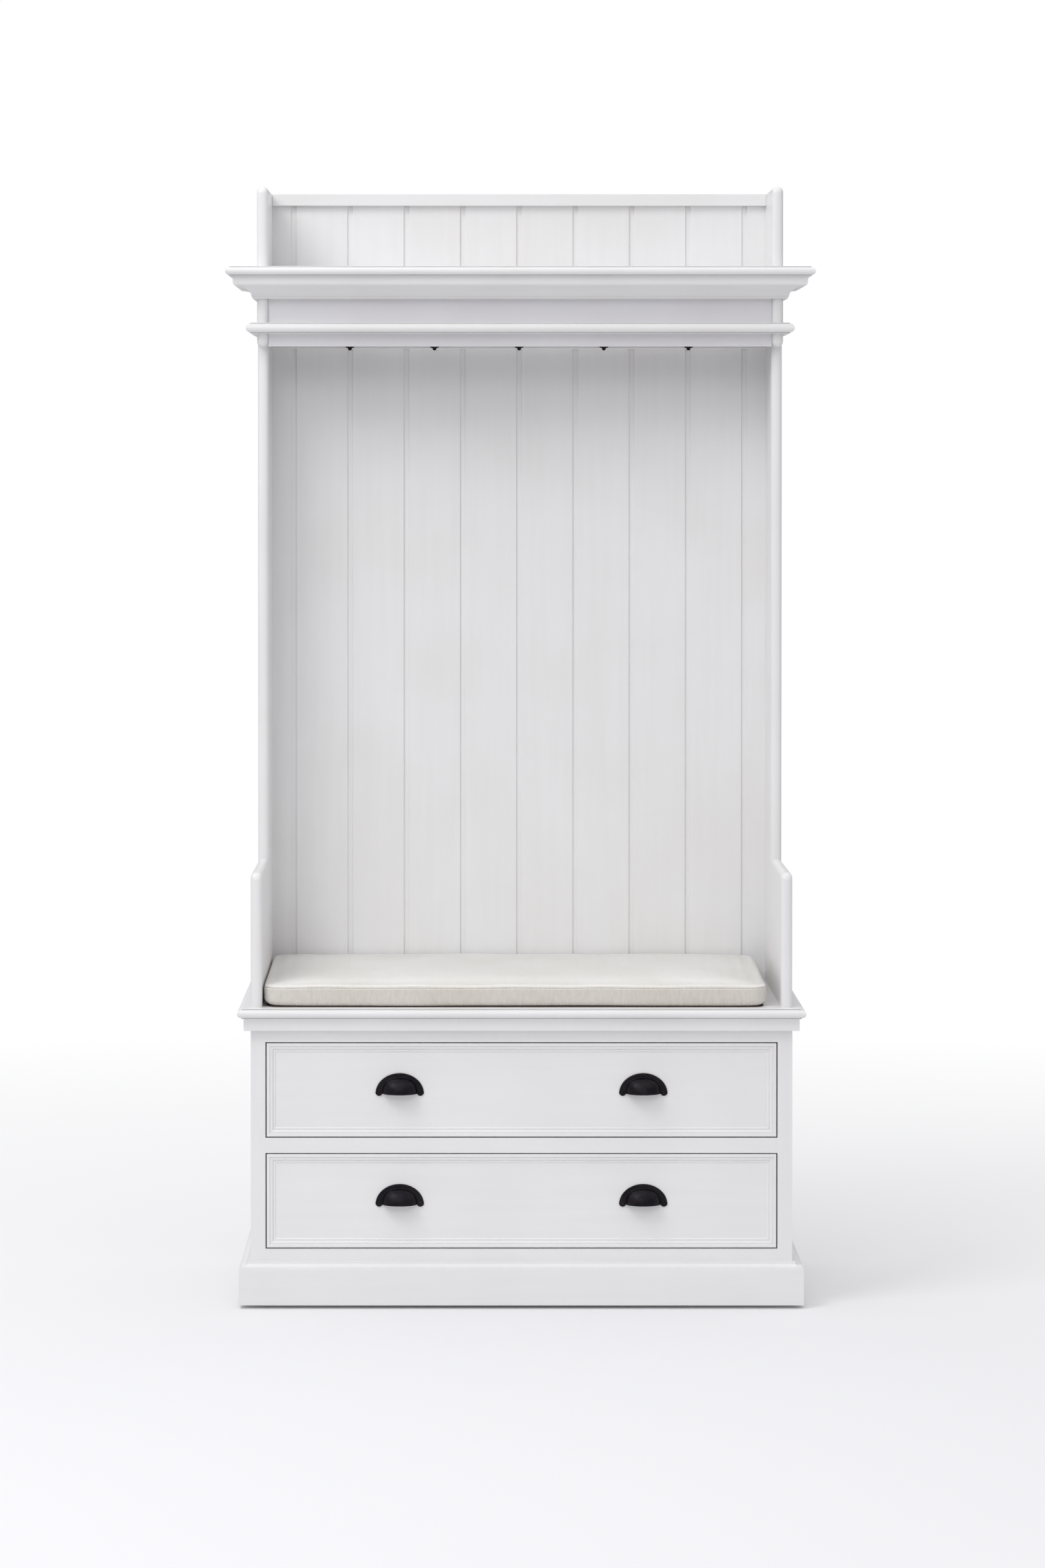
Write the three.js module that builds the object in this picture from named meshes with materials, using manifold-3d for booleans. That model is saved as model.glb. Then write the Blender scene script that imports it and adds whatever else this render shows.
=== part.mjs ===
// Hall tree: a storage bench with two drawers and a cushion, and above it a panelled back with
// coat hooks behind a frieze, a cornice and a hat shelf.
// Millimetres. +X is to the right, +Y to the rear, +Z up. The origin is on the floor, under the
// middle of the object's outline.
import * as THREE from "three";
import { mergeVertices } from "three/addons/utils/BufferGeometryUtils.js";
import Module from "manifold-3d";

const wasm = await Module();
wasm.setup();

// ---- Driving sizes ----

// Overall
const CABINET_WIDTH = 960; // over the side boards
const DEPTH = 450; // front of the bench nosing to the rear edges
const HEIGHT = 2000; // floor to the top of the upper side boards

// Board thicknesses
const CABINET_SIDE_T = 26;
const RAIL_T = 20;
const PLINTH_T = 20;
const SHELF_T = 18;
const UPPER_SIDE_T = 20;
const BACK_BOARD_T = 12;
const CABINET_BACK_T = 6;

// Cabinet, from the floor up
const GLIDE_H = 6;
const PLINTH_H = 65;
const PLINTH_CAP_H = 10;
const PLINTH_CAP_OUT = 18;
const BOTTOM_RAIL_SHOWN = 22; // above the plinth cap
const DRAWER_OPENING_H = 170;
const MIDDLE_RAIL_H = 27;
const TOP_RAIL_H = 43;
const FASCIA_H = 21.5;
const FASCIA_OUT = 12;
const NOSING_OUT = 23;
const GLIDE_RADIUS = 12;
const GLIDE_INSET = 25; // from a side board's end to the glide's centre
const REAR_RECESS = 8; // from the rear edges to the panels let in between them

// Upper part
const ARM_H = 239; // above the bench top
const UPPER_BOX_DEPTH = 195; // hat shelf and cornice, from the rear
const POST_SETBACK = 30; // of the side boards' fronts between arm and frieze, behind the upper box
const EDGE_ROUND = 8; // rounding of the side boards' free edges
const CORNER_RADIUS = 12;
const SHELF_DROP = 147; // from the top of the side boards to the hat shelf
const CAP_OUT = 55;
const CROWN_H = 39.5;
const CROWN_OUT = 41.75;
const FRIEZE_BAND_H = 43.5; // between the crown and the lower moulding
const LOWER_MOULDING_H = 20;
const LOWER_MOULDING_OUT = 19.5;
const APRON_H = 23; // of frieze board below the lower moulding
const FRIEZE_SETBACK = 8; // behind the side boards' front edges
const TOP_RAIL_T = 12;
const BACK_TOP_RAIL_H = 22;
const HOOK_RAIL_T = 18;
const HOOK_RAIL_H = 81;

// Back boards
const FULL_BOARDS = 8;
const EDGE_BOARD_W = 40;
const GROOVE_W = 9.5;
const GROOVE_DEPTH = 3;
const TONGUE_LENGTH = 5;
const TONGUE_T = 4;
const TONGUE_CLEARANCE = 0.3;

// Drawers
const DRAWER_GAP = 2; // round the front
const BOX_SIDE_GAP = 4; // between the opening and the drawer's sides
const BOX_FLOOR_GAP = 1; // between what the drawer runs on and its sides
const BOX_H = 130;
const BOX_BOARD_T = 12;
const BOX_BOTTOM_T = 6;
const BOX_BOTTOM_LIFT = 8;
const BOX_REAR_GAP = 25; // behind the drawer, to the cabinet's back
const FIELD_BORDER = 16.5; // from a front's edge to the sunk field
const FIELD_STEP = 10; // width of the moulded step round the field
const FIELD_DEPTH = 5;
const FIELD_STEP_DEPTH = 2.5;

// Cup pulls
const PULL_INSET = 236; // from a front's end to the pull's middle
const PULL_W = 86; // over the rim
const PULL_H = 36.5; // lip to the top of the rim
const PULL_OUT = 24;
const PULL_WALL = 2.5;
const CUP_W = 62;
const CUP_H = 31;
const RIM_T = 2.5;
const LUG_RADIUS = 6.5;
const LUG_LIFT = 2.5; // of a lug's middle above the lip
const PULL_DROP = 7; // from the front's middle down to the pull's lip

// Coat hooks
const HOOK_COUNT = 5;
const HOOK_INSET = 145; // from a side board's inner face to the first hook
const HOOK_BOTTOM_DROP = 3.5; // of the plate's point below the frieze board
const HOOK_PLATE_H = 72;
const HOOK_PLATE_W = 24;
const HOOK_PLATE_T = 3;
const HOOK_ROD_RADIUS = 3.25;
const HOOK_BALL_RADIUS = 6;
const HOOK_TIP_RADIUS = 3;
const COAT_ARM_REACH = 36;
const HAT_ARM_REACH = 62;

// Cushion
const CUSHION_EDGE_H = 40;
const CUSHION_CROWN = 20;
const CUSHION_ROUND = 9;
const CUSHION_LEFT_GAP = 2; // to the left arm, where the cushion is pushed
const CUSHION_RIGHT_GAP = 24;
const CUSHION_FRONT_INSET = 4;
const CUSHION_REAR_GAP = 8;
const REST_GAP = 0.3; // under the cushion

// ---- Sizes that follow ----
const HALF_CABINET = CABINET_WIDTH / 2;
const HALF_OPENING = HALF_CABINET - CABINET_SIDE_T;
const HALF_UPPER = HALF_CABINET - UPPER_SIDE_T;
const NOSING_FRONT = -DEPTH / 2;
const REAR = DEPTH / 2;
const CABINET_FRONT = NOSING_FRONT + NOSING_OUT;
const RAIL_REAR = CABINET_FRONT + RAIL_T;
const PANEL_REAR = REAR - REAR_RECESS;
const CABINET_BACK_FACE = PANEL_REAR - CABINET_BACK_T;

const PLINTH_TOP = GLIDE_H + PLINTH_H;
const PLINTH_CAP_TOP = PLINTH_TOP + PLINTH_CAP_H;
const LOWER_OPENING = PLINTH_CAP_TOP + BOTTOM_RAIL_SHOWN;
const LOWER_OPENING_TOP = LOWER_OPENING + DRAWER_OPENING_H;
const UPPER_OPENING = LOWER_OPENING_TOP + MIDDLE_RAIL_H;
const UPPER_OPENING_TOP = UPPER_OPENING + DRAWER_OPENING_H;
const CARCASS_TOP = UPPER_OPENING_TOP + TOP_RAIL_H;
const SEAT = CARCASS_TOP + SHELF_T;

const UPPER_FRONT = REAR - UPPER_BOX_DEPTH;
const POST_FRONT = UPPER_FRONT + POST_SETBACK;
const FRIEZE_FRONT = UPPER_FRONT + FRIEZE_SETBACK;
const BOARD_FRONT = PANEL_REAR - BACK_BOARD_T;
const HOOK_RAIL_FRONT = BOARD_FRONT - HOOK_RAIL_T;
const ARM_TOP = SEAT + ARM_H;
const SHELF_TOP = HEIGHT - SHELF_DROP;
const SHELF_UNDER = SHELF_TOP - SHELF_T;
const CROWN_UNDER = SHELF_UNDER - CROWN_H;
const LOWER_MOULDING_TOP = CROWN_UNDER - FRIEZE_BAND_H;
const LOWER_MOULDING_UNDER = LOWER_MOULDING_TOP - LOWER_MOULDING_H;
const FRIEZE_UNDER = LOWER_MOULDING_UNDER - APRON_H;
const BACK_RAIL_TOP = HEIGHT - 3;

const ARC_STEPS = 8; // straight steps in a quarter or half turn of a moulding
const HALF_PULL = PULL_W / 2;

// ---- Materials ----
const material = (color, roughness, metalness) =>
  new THREE.MeshStandardMaterial({ color, roughness, metalness });
const whitePaint = material("#e4e4e6", 0.38, 0);
const bareWood = material("#c9ab80", 0.65, 0);
const bronze = material("#1d1719", 0.4, 0.85);
const blackIron = material("#161416", 0.5, 0.7);
const ivoryCloth = material("#e6e1d6", 0.95, 0);
const glideFelt = material("#3a3836", 0.9, 0);

const hallTree = new THREE.Group();

function add(name, geometry, finish, parent = hallTree) {
  const mesh = new THREE.Mesh(geometry, finish);
  mesh.name = name;
  parent.add(mesh);
  return mesh;
}

// ---- Shapes ----

// Sets each vertex from its old place, so that faces lie exactly on the numbers given.
function remap(geometry, place) {
  const position = geometry.getAttribute("position");
  for (let i = 0; i < position.count; i++)
    position.setXYZ(i, ...place(position.getX(i), position.getY(i), position.getZ(i)));
  geometry.computeVertexNormals();
  return geometry;
}

// A board between two values along each axis.
function board(x, y, z) {
  const pick = (range, side) => range[side > 0 ? 1 : 0];
  return remap(new THREE.BoxGeometry(1, 1, 1), (u, v, w) => [pick(x, u), pick(y, v), pick(z, w)]);
}

// A prism over an outline, between two values along one axis: "x" takes (y, z) points, "y" takes
// (x, z) points and "z" takes (x, y) points.
function prism(outline, axis, [low, high]) {
  const shape = new THREE.Shape(outline.map(([u, v]) => new THREE.Vector2(u, v)));
  const solid = new THREE.ExtrudeGeometry(shape, { depth: 1, bevelEnabled: false });
  const end = (w) => (w > 0.5 ? high : low);
  const places = {
    x: (u, v, w) => [end(w), u, v],
    y: (u, v, w) => [u, end(1 - w), v],
    z: (u, v, w) => [u, v, end(w)],
  };
  return remap(solid, places[axis]);
}

function solidOf(geometry) {
  const bare = geometry.clone();
  bare.deleteAttribute("normal");
  bare.deleteAttribute("uv");
  const merged = mergeVertices(bare, 1e-4);
  const triVerts = new Uint32Array(merged.index.array);
  const vertProperties = new Float32Array(merged.getAttribute("position").array);
  return new wasm.Manifold(new wasm.Mesh({ numProp: 3, vertProperties, triVerts }));
}

function geometryOf(solid) {
  const mesh = solid.getMesh();
  const geometry = new THREE.BufferGeometry();
  geometry.setAttribute("position", new THREE.BufferAttribute(mesh.vertProperties, 3));
  geometry.setIndex(new THREE.BufferAttribute(mesh.triVerts, 1));
  geometry.computeVertexNormals();
  return geometry;
}

function joined(first, ...others) {
  return geometryOf(others.reduce((sum, next) => sum.add(solidOf(next)), solidOf(first)));
}

function cut(first, ...others) {
  return geometryOf(others.reduce((rest, next) => rest.subtract(solidOf(next)), solidOf(first)));
}

function common(first, second) {
  return geometryOf(solidOf(first).intersect(solidOf(second)));
}

// Points of an elliptical arc, from one angle to another, in degrees.
function arc([cx, cy], rx, ry, from, to, steps = ARC_STEPS) {
  return Array.from({ length: steps + 1 }, (_, i) => {
    const angle = THREE.MathUtils.degToRad(from + ((to - from) * i) / steps);
    return [cx + rx * Math.cos(angle), cy + ry * Math.sin(angle)];
  });
}

// A moulding's section, as (distance out, height) points, carried round the front and both sides
// with mitred corners. The section starts and ends on the wall, at distance 0.
function wrapped(section, halfWidth, front, rear) {
  const rings = [
    (out) => [-halfWidth - out, rear],
    (out) => [-halfWidth - out, front - out],
    (out) => [halfWidth + out, front - out],
    (out) => [halfWidth + out, rear],
  ];
  const size = section.length;
  const vertices = rings.flatMap((at) => section.flatMap(([out, z]) => [...at(out), z]));
  const faces = [];
  for (let ring = 0; ring < rings.length - 1; ring++) {
    for (let i = 0; i < size; i++) {
      const a = ring * size + i;
      const b = ring * size + ((i + 1) % size);
      faces.push(a, b + size, b, a, a + size, b + size);
    }
  }
  const contour = section.map(([out, z]) => new THREE.Vector2(out, z));
  const last = (rings.length - 1) * size;
  for (const [a, b, c] of THREE.ShapeUtils.triangulateShape(contour, [])) {
    faces.push(a, b, c);
    faces.push(last + a, last + c, last + b);
  }
  const geometry = new THREE.BufferGeometry();
  geometry.setAttribute("position", new THREE.Float32BufferAttribute(vertices, 3));
  geometry.setIndex(faces);
  geometry.computeVertexNormals();
  return geometry;
}

// A half-round nose with a small fillet above and below it, standing out from a wall.
function noseSection(bottom, height, out, fillet = 2) {
  const radius = height / 2 - fillet;
  const shoulder = out - radius;
  const nose = arc([shoulder, bottom + height / 2], radius, radius, -90, 90);
  return [[0, bottom], [shoulder, bottom], ...nose, [shoulder, bottom + height], [0, bottom + height]];
}

// ---- Plinth and glides ----
function addPlinth() {
  const z = [GLIDE_H, PLINTH_TOP];
  const outer = HALF_CABINET + PLINTH_T;
  const front = CABINET_FRONT - PLINTH_T;
  const inner = [[HALF_CABINET, CABINET_FRONT], [-HALF_CABINET, CABINET_FRONT]];
  add("plinth_front", prism([[-outer, front], [outer, front], ...inner], "z", z), whitePaint);
  for (const [side, s] of [["left", -1], ["right", 1]]) {
    const corners = [[outer, front], [outer, REAR], [HALF_CABINET, REAR], [HALF_CABINET, CABINET_FRONT]];
    const outline = corners.map(([x, y]) => [s * x, y]);
    if (s < 0) outline.reverse();
    add(`plinth_side_${side}`, prism(outline, "z", z), whitePaint);
  }
  const rearBoard = board([-HALF_OPENING, HALF_OPENING], [PANEL_REAR - PLINTH_T, PANEL_REAR], z);
  add("plinth_back", rearBoard, whitePaint);

  // A cove stands on the plinth's top edge and runs up to the cabinet.
  const lip = 2;
  const neck = 6;
  const hollowCentre = [PLINTH_CAP_OUT, PLINTH_CAP_TOP - lip];
  const cove = arc(hollowCentre, PLINTH_CAP_OUT - neck, PLINTH_CAP_H - 2 * lip, -90, -180);
  const section = [
    [0, PLINTH_TOP],
    [PLINTH_CAP_OUT, PLINTH_TOP],
    ...cove,
    [neck, PLINTH_CAP_TOP],
    [0, PLINTH_CAP_TOP],
  ];
  add("plinth_cap_moulding", wrapped(section, HALF_CABINET, CABINET_FRONT, REAR), whitePaint);

  const x = HALF_CABINET - CABINET_SIDE_T / 2;
  const ends = { front: CABINET_FRONT + GLIDE_INSET, rear: REAR - GLIDE_INSET };
  for (const [end, y] of Object.entries(ends)) {
    for (const [side, s] of [["left", -1], ["right", 1]]) {
      const disc = prism(arc([0, 0], GLIDE_RADIUS, GLIDE_RADIUS, 0, 345, 23), "z", [0, GLIDE_H]);
      add(`foot_glide_${end}_${side}`, disc, glideFelt).position.set(s * x, y, 0);
    }
  }
}

// ---- Cabinet ----
function addCabinet() {
  const across = [-HALF_OPENING, HALF_OPENING];
  const rail = [CABINET_FRONT, RAIL_REAR];
  const inside = [RAIL_REAR, CABINET_BACK_FACE];
  const height = [GLIDE_H, CARCASS_TOP];
  add("cabinet_side_left", board([-HALF_CABINET, -HALF_OPENING], [CABINET_FRONT, REAR], height), whitePaint);
  add("cabinet_side_right", board([HALF_OPENING, HALF_CABINET], [CABINET_FRONT, REAR], height), whitePaint);
  add("bottom_rail", board(across, rail, [GLIDE_H, LOWER_OPENING]), whitePaint);
  add("middle_rail", board(across, rail, [LOWER_OPENING_TOP, UPPER_OPENING]), whitePaint);
  add("top_rail", board(across, rail, [UPPER_OPENING_TOP, CARCASS_TOP]), whitePaint);
  add("cabinet_bottom", board(across, inside, [LOWER_OPENING - SHELF_T, LOWER_OPENING]), bareWood);
  add("drawer_divider", board(across, inside, [UPPER_OPENING - SHELF_T, UPPER_OPENING]), bareWood);
  const back = board(across, [CABINET_BACK_FACE, PANEL_REAR], [PLINTH_TOP, CARCASS_TOP]);
  add("cabinet_back", back, whitePaint);

  const foot = CARCASS_TOP - FASCIA_H;
  const fascia = [[0, foot], [FASCIA_OUT, foot], [FASCIA_OUT, CARCASS_TOP], [0, CARCASS_TOP]];
  add("bench_fascia", wrapped(fascia, HALF_CABINET, CABINET_FRONT, REAR), whitePaint);

  const slab = board([-HALF_CABINET - 1, HALF_CABINET + 1], [CABINET_FRONT - 1, REAR], [CARCASS_TOP, SEAT]);
  const nosing = wrapped(noseSection(CARCASS_TOP, SHELF_T, NOSING_OUT), HALF_CABINET, CABINET_FRONT, REAR);
  add("bench_top", joined(slab, nosing), whitePaint);
}

// ---- Upper part ----

// The outline of a side board from the side, as (y, z): an arm at the bottom, a post above it, and
// a deeper box for the frieze and hat shelf at the top. It runs past the board's foot and rear,
// which are then cut off square.
function upperSideShape() {
  const over = EDGE_ROUND * 2;
  const r = CORNER_RADIUS;
  const foot = SEAT - over;
  const rear = REAR + over;
  const step = FRIEZE_UNDER;
  const points = [
    [CABINET_FRONT, foot],
    [rear, foot],
    [rear, HEIGHT],
    ...arc([UPPER_FRONT + r, HEIGHT - r], r, r, 90, 180, 4),
    ...arc([UPPER_FRONT + r, step + r], r, r, 180, 270, 4),
    [POST_FRONT, step],
    [POST_FRONT, ARM_TOP],
    ...arc([CABINET_FRONT + r, ARM_TOP - r], r, r, 90, 180, 4),
  ];
  return new THREE.Shape(points.map(([y, z]) => new THREE.Vector2(y, z)));
}

function upperSide(inner, outer) {
  const proud = 0.02; // the faces are cut back by this much, to lie exactly on the inner and outer planes
  const round = Math.min(EDGE_ROUND, UPPER_SIDE_T / 2 - 1);
  const rounded = new THREE.ExtrudeGeometry(upperSideShape(), {
    depth: UPPER_SIDE_T + 2 * (proud - round),
    bevelThickness: round,
    bevelSize: round,
    bevelOffset: -round,
    bevelSegments: 4,
  });
  const low = Math.min(inner, outer) - proud + round;
  const placed = remap(rounded, (u, v, w) => [w + low, u, v]);
  const x = [Math.min(inner, outer), Math.max(inner, outer)];
  return common(placed, board(x, [NOSING_FRONT, REAR], [SEAT, HEIGHT + 1]));
}

function addUpperFrame() {
  add("side_panel_left", upperSide(-HALF_UPPER, -HALF_CABINET), whitePaint);
  add("side_panel_right", upperSide(HALF_UPPER, HALF_CABINET), whitePaint);
  const across = [-HALF_UPPER, HALF_UPPER];
  const railTop = [BACK_RAIL_TOP - BACK_TOP_RAIL_H, BACK_RAIL_TOP];
  add("back_top_rail", board(across, [BOARD_FRONT - TOP_RAIL_T, BOARD_FRONT], railTop), whitePaint);
  const hookRail = [FRIEZE_UNDER, FRIEZE_UNDER + HOOK_RAIL_H];
  add("hook_rail", board(across, [HOOK_RAIL_FRONT, BOARD_FRONT], hookRail), whitePaint);
  add("hat_shelf", board(across, [UPPER_FRONT, BOARD_FRONT], [SHELF_UNDER, SHELF_TOP]), whitePaint);
  const frieze = board(across, [FRIEZE_FRONT, FRIEZE_FRONT + SHELF_T], [FRIEZE_UNDER, SHELF_UNDER]);
  add("frieze_board", frieze, whitePaint);
}

// The rear panel: tongued and grooved boards, each with a sunk margin along one front edge, so that
// a shallow channel shows between neighbours.
function addBackBoards() {
  const span = HALF_UPPER - EDGE_BOARD_W;
  const pitch = (2 * span) / FULL_BOARDS;
  const seams = Array.from({ length: FULL_BOARDS + 1 }, (_, i) => -span + i * pitch);
  const edges = [-HALF_UPPER, ...seams, HALF_UPPER];
  const channel = GROOVE_W / 2;
  const floor = BOARD_FRONT + GROOVE_DEPTH;
  const middle = (floor + PANEL_REAR) / 2;
  const slot = TONGUE_T / 2 + TONGUE_CLEARANCE;
  const tongue = TONGUE_T / 2;
  for (let i = 0; i < edges.length - 1; i++) {
    const left = edges[i];
    const right = edges[i + 1];
    const leftEdge = [[left, PANEL_REAR], [left, BOARD_FRONT]];
    const slotted = [
      [left, PANEL_REAR],
      [left, middle + slot],
      [left + TONGUE_LENGTH + TONGUE_CLEARANCE, middle + slot],
      [left + TONGUE_LENGTH + TONGUE_CLEARANCE, middle - slot],
      [left, middle - slot],
      [left, floor],
      [left + channel, floor],
      [left + channel, BOARD_FRONT],
    ];
    const rightEdge = [[right, BOARD_FRONT], [right, PANEL_REAR]];
    const tongued = [
      [right - channel, BOARD_FRONT],
      [right - channel, floor],
      [right, floor],
      [right, middle - tongue],
      [right + TONGUE_LENGTH, middle - tongue],
      [right + TONGUE_LENGTH, middle + tongue],
      [right, middle + tongue],
      [right, PANEL_REAR],
    ];
    const outline = [
      ...(i === 0 ? leftEdge : slotted),
      ...(i === edges.length - 2 ? rightEdge : tongued),
    ];
    add(`back_board_${i + 1}`, prism(outline, "z", [SEAT, BACK_RAIL_TOP]), whitePaint);
  }
}

// ---- Cornice ----

// A strip behind a moulding's front run, between the side boards, that reaches the frieze board.
function backedBy(moulding, z) {
  const inner = HALF_UPPER - TONGUE_CLEARANCE;
  return joined(moulding, board([-inner, inner], [UPPER_FRONT - 1, FRIEZE_FRONT], z));
}

function addCornice() {
  const cap = noseSection(SHELF_UNDER, SHELF_T, CAP_OUT);
  add("cornice_cap", wrapped(cap, HALF_CABINET, UPPER_FRONT, REAR), whitePaint);

  // From the bottom: a fillet, a cove, and a small ovolo under a flat band.
  const fillet = 3.5;
  const filletOut = 7.75;
  const coveOut = 36;
  const bandFoot = CROWN_UNDER + 30;
  const coveTop = CROWN_UNDER + 22;
  const coveFoot = CROWN_UNDER + fillet;
  const crown = [
    [0, CROWN_UNDER],
    [filletOut, CROWN_UNDER],
    [filletOut, coveFoot],
    ...arc([coveOut, coveFoot], coveOut - filletOut - 1.75, coveTop - coveFoot, 180, 90),
    ...arc([coveOut, bandFoot], CROWN_OUT - coveOut, bandFoot - coveTop, -90, 0).slice(1),
    [CROWN_OUT, SHELF_UNDER],
    [0, SHELF_UNDER],
  ];
  const crownRun = wrapped(crown, HALF_CABINET, UPPER_FRONT, REAR);
  add("crown_moulding", backedBy(crownRun, [CROWN_UNDER, SHELF_UNDER]), whitePaint);

  const lower = noseSection(LOWER_MOULDING_UNDER, LOWER_MOULDING_H, LOWER_MOULDING_OUT);
  const lowerRun = wrapped(lower, HALF_CABINET, UPPER_FRONT, REAR);
  const band = [LOWER_MOULDING_UNDER, LOWER_MOULDING_TOP];
  add("lower_moulding", backedBy(lowerRun, band), whitePaint);
}

// ---- Coat hooks ----

// A round rod along a smooth curve through (y, z) points, y counted forward from the plate.
function rod(points, radius) {
  const path = new THREE.CatmullRomCurve3(points.map(([out, z]) => new THREE.Vector3(0, -out, z)));
  const circle = arc([0, 0], radius, radius, 0, 315, 7).map(([u, v]) => new THREE.Vector2(u, v));
  const section = new THREE.Shape(circle);
  return new THREE.ExtrudeGeometry(section, { steps: 12, extrudePath: path, bevelEnabled: false });
}

function ball(radius, out, z) {
  const sphere = new THREE.SphereGeometry(radius, 10, 7);
  sphere.translate(0, -out, z);
  return sphere;
}

// A hook on a leaf-shaped plate, with a long arm for a hat above a short one for a coat. Its local
// origin is on the wall, at the plate's lowest point.
function hookShape() {
  const halfWidth = HOOK_PLATE_W / 2;
  const tip = HOOK_TIP_RADIUS;
  const shoulder = HOOK_PLATE_H - halfWidth;
  const outline = [
    ...arc([0, tip], tip, tip, 200, 340, 6),
    [halfWidth * 0.68, tip * 2],
    [halfWidth, HOOK_PLATE_H * 0.4],
    ...arc([0, shoulder], halfWidth, halfWidth, 0, 180),
    [-halfWidth, HOOK_PLATE_H * 0.4],
    [-halfWidth * 0.68, tip * 2],
  ];
  const plate = prism(outline, "y", [-HOOK_PLATE_T, 0]);
  const coatEnd = HOOK_PLATE_H * 0.4;
  const coatArm = [
    [1, HOOK_PLATE_H * 0.42],
    [COAT_ARM_REACH * 0.32, HOOK_PLATE_H * 0.24],
    [COAT_ARM_REACH * 0.7, HOOK_PLATE_H * 0.17],
    [COAT_ARM_REACH * 0.97, HOOK_PLATE_H * 0.27],
    [COAT_ARM_REACH, coatEnd],
  ];
  const hatEnd = HOOK_PLATE_H * 1.12;
  const hatArm = [
    [1, HOOK_PLATE_H * 0.66],
    [HAT_ARM_REACH * 0.35, HOOK_PLATE_H * 0.62],
    [HAT_ARM_REACH * 0.75, HOOK_PLATE_H * 0.74],
    [HAT_ARM_REACH * 0.96, HOOK_PLATE_H * 0.94],
    [HAT_ARM_REACH, hatEnd],
  ];
  const casting = joined(
    plate,
    rod(coatArm, HOOK_ROD_RADIUS),
    rod(hatArm, HOOK_ROD_RADIUS),
    ball(HOOK_BALL_RADIUS - 1, COAT_ARM_REACH, coatEnd),
    ball(HOOK_BALL_RADIUS, HAT_ARM_REACH, hatEnd),
  );
  const room = HOOK_PLATE_H * 2;
  return common(casting, board([-room, room], [-room, 0], [-room, room]));
}

function addHooks() {
  const shape = hookShape();
  const first = HALF_UPPER - HOOK_INSET;
  const pitch = (2 * first) / (HOOK_COUNT - 1);
  for (let i = 0; i < HOOK_COUNT; i++) {
    const hook = add(`coat_hook_${i + 1}`, shape, blackIron);
    hook.position.set(-first + i * pitch, HOOK_RAIL_FRONT, FRIEZE_UNDER - HOOK_BOTTOM_DROP);
  }
}

// ---- Drawers ----

// A cup pull: a quarter of an egg, hollow and open underneath, on a rim with a lug at each end. Its
// local origin is on the drawer front, at the middle of the lip.
function pullShape() {
  const egg = (halfWidth, out, height) => {
    const shell = new THREE.SphereGeometry(1, 28, 18);
    shell.scale(halfWidth, out, height);
    return shell;
  };
  const room = PULL_W;
  const hollow = egg(CUP_W / 2 - PULL_WALL, PULL_OUT - PULL_WALL, CUP_H - PULL_WALL);
  const rim = prism(arc([0, 0], HALF_PULL, PULL_H, 0, 350, 35), "y", [-RIM_T, 1]);
  const outside = joined(egg(CUP_W / 2, PULL_OUT, CUP_H), rim);
  const upper = common(outside, board([-room, room], [-room, 0], [0, room]));
  const lug = (s) => {
    const middle = [s * (HALF_PULL - LUG_RADIUS), LUG_LIFT];
    return prism(arc(middle, LUG_RADIUS, LUG_RADIUS, 0, 337.5, 15), "y", [-RIM_T, 0]);
  };
  return cut(joined(upper, lug(-1), lug(1)), hollow);
}

function addDrawer(level, opening, pull) {
  const drawer = new THREE.Group();
  drawer.position.z = opening;
  hallTree.add(drawer);
  const halfFront = HALF_OPENING - DRAWER_GAP;
  const height = DRAWER_OPENING_H - 2 * DRAWER_GAP;
  const z = [DRAWER_GAP, DRAWER_GAP + height];
  const inset = (by) => ({
    x: [-halfFront + by, halfFront - by],
    z: [z[0] + by, z[1] - by],
  });
  const fieldFace = CABINET_FRONT + FIELD_DEPTH;
  const margin = inset(FIELD_BORDER - FIELD_STEP);
  const field = inset(FIELD_BORDER);
  const ahead = CABINET_FRONT - 1;
  const front = cut(
    board([-halfFront, halfFront], [CABINET_FRONT, RAIL_REAR], z),
    board(margin.x, [ahead, CABINET_FRONT + FIELD_STEP_DEPTH], margin.z),
    board(field.x, [ahead, fieldFace], field.z),
  );
  add(`${level}_drawer_front`, front, whitePaint, drawer);

  const outer = HALF_OPENING - BOX_SIDE_GAP;
  const inner = outer - BOX_BOARD_T;
  const boxRear = CABINET_BACK_FACE - BOX_REAR_GAP;
  const sides = [BOX_FLOOR_GAP, BOX_FLOOR_GAP + BOX_H];
  const length = [RAIL_REAR, boxRear];
  add(`${level}_drawer_side_left`, board([-outer, -inner], length, sides), bareWood, drawer);
  add(`${level}_drawer_side_right`, board([inner, outer], length, sides), bareWood, drawer);
  const floorTop = BOX_FLOOR_GAP + BOX_BOTTOM_LIFT + BOX_BOTTOM_T;
  const rearBoard = board([-inner, inner], [boxRear - BOX_BOARD_T, boxRear], [floorTop, sides[1]]);
  add(`${level}_drawer_back`, rearBoard, bareWood, drawer);
  const floor = board([-inner, inner], length, [floorTop - BOX_BOTTOM_T, floorTop]);
  add(`${level}_drawer_bottom`, floor, bareWood, drawer);

  const lip = DRAWER_GAP + height / 2 - PULL_DROP;
  for (const [side, s] of [["left", -1], ["right", 1]]) {
    const cup = add(`${level}_pull_${side}`, pull, bronze, drawer);
    cup.position.set(s * (halfFront - PULL_INSET), fieldFace, lip);
  }
}

// ---- Cushion ----

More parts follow.
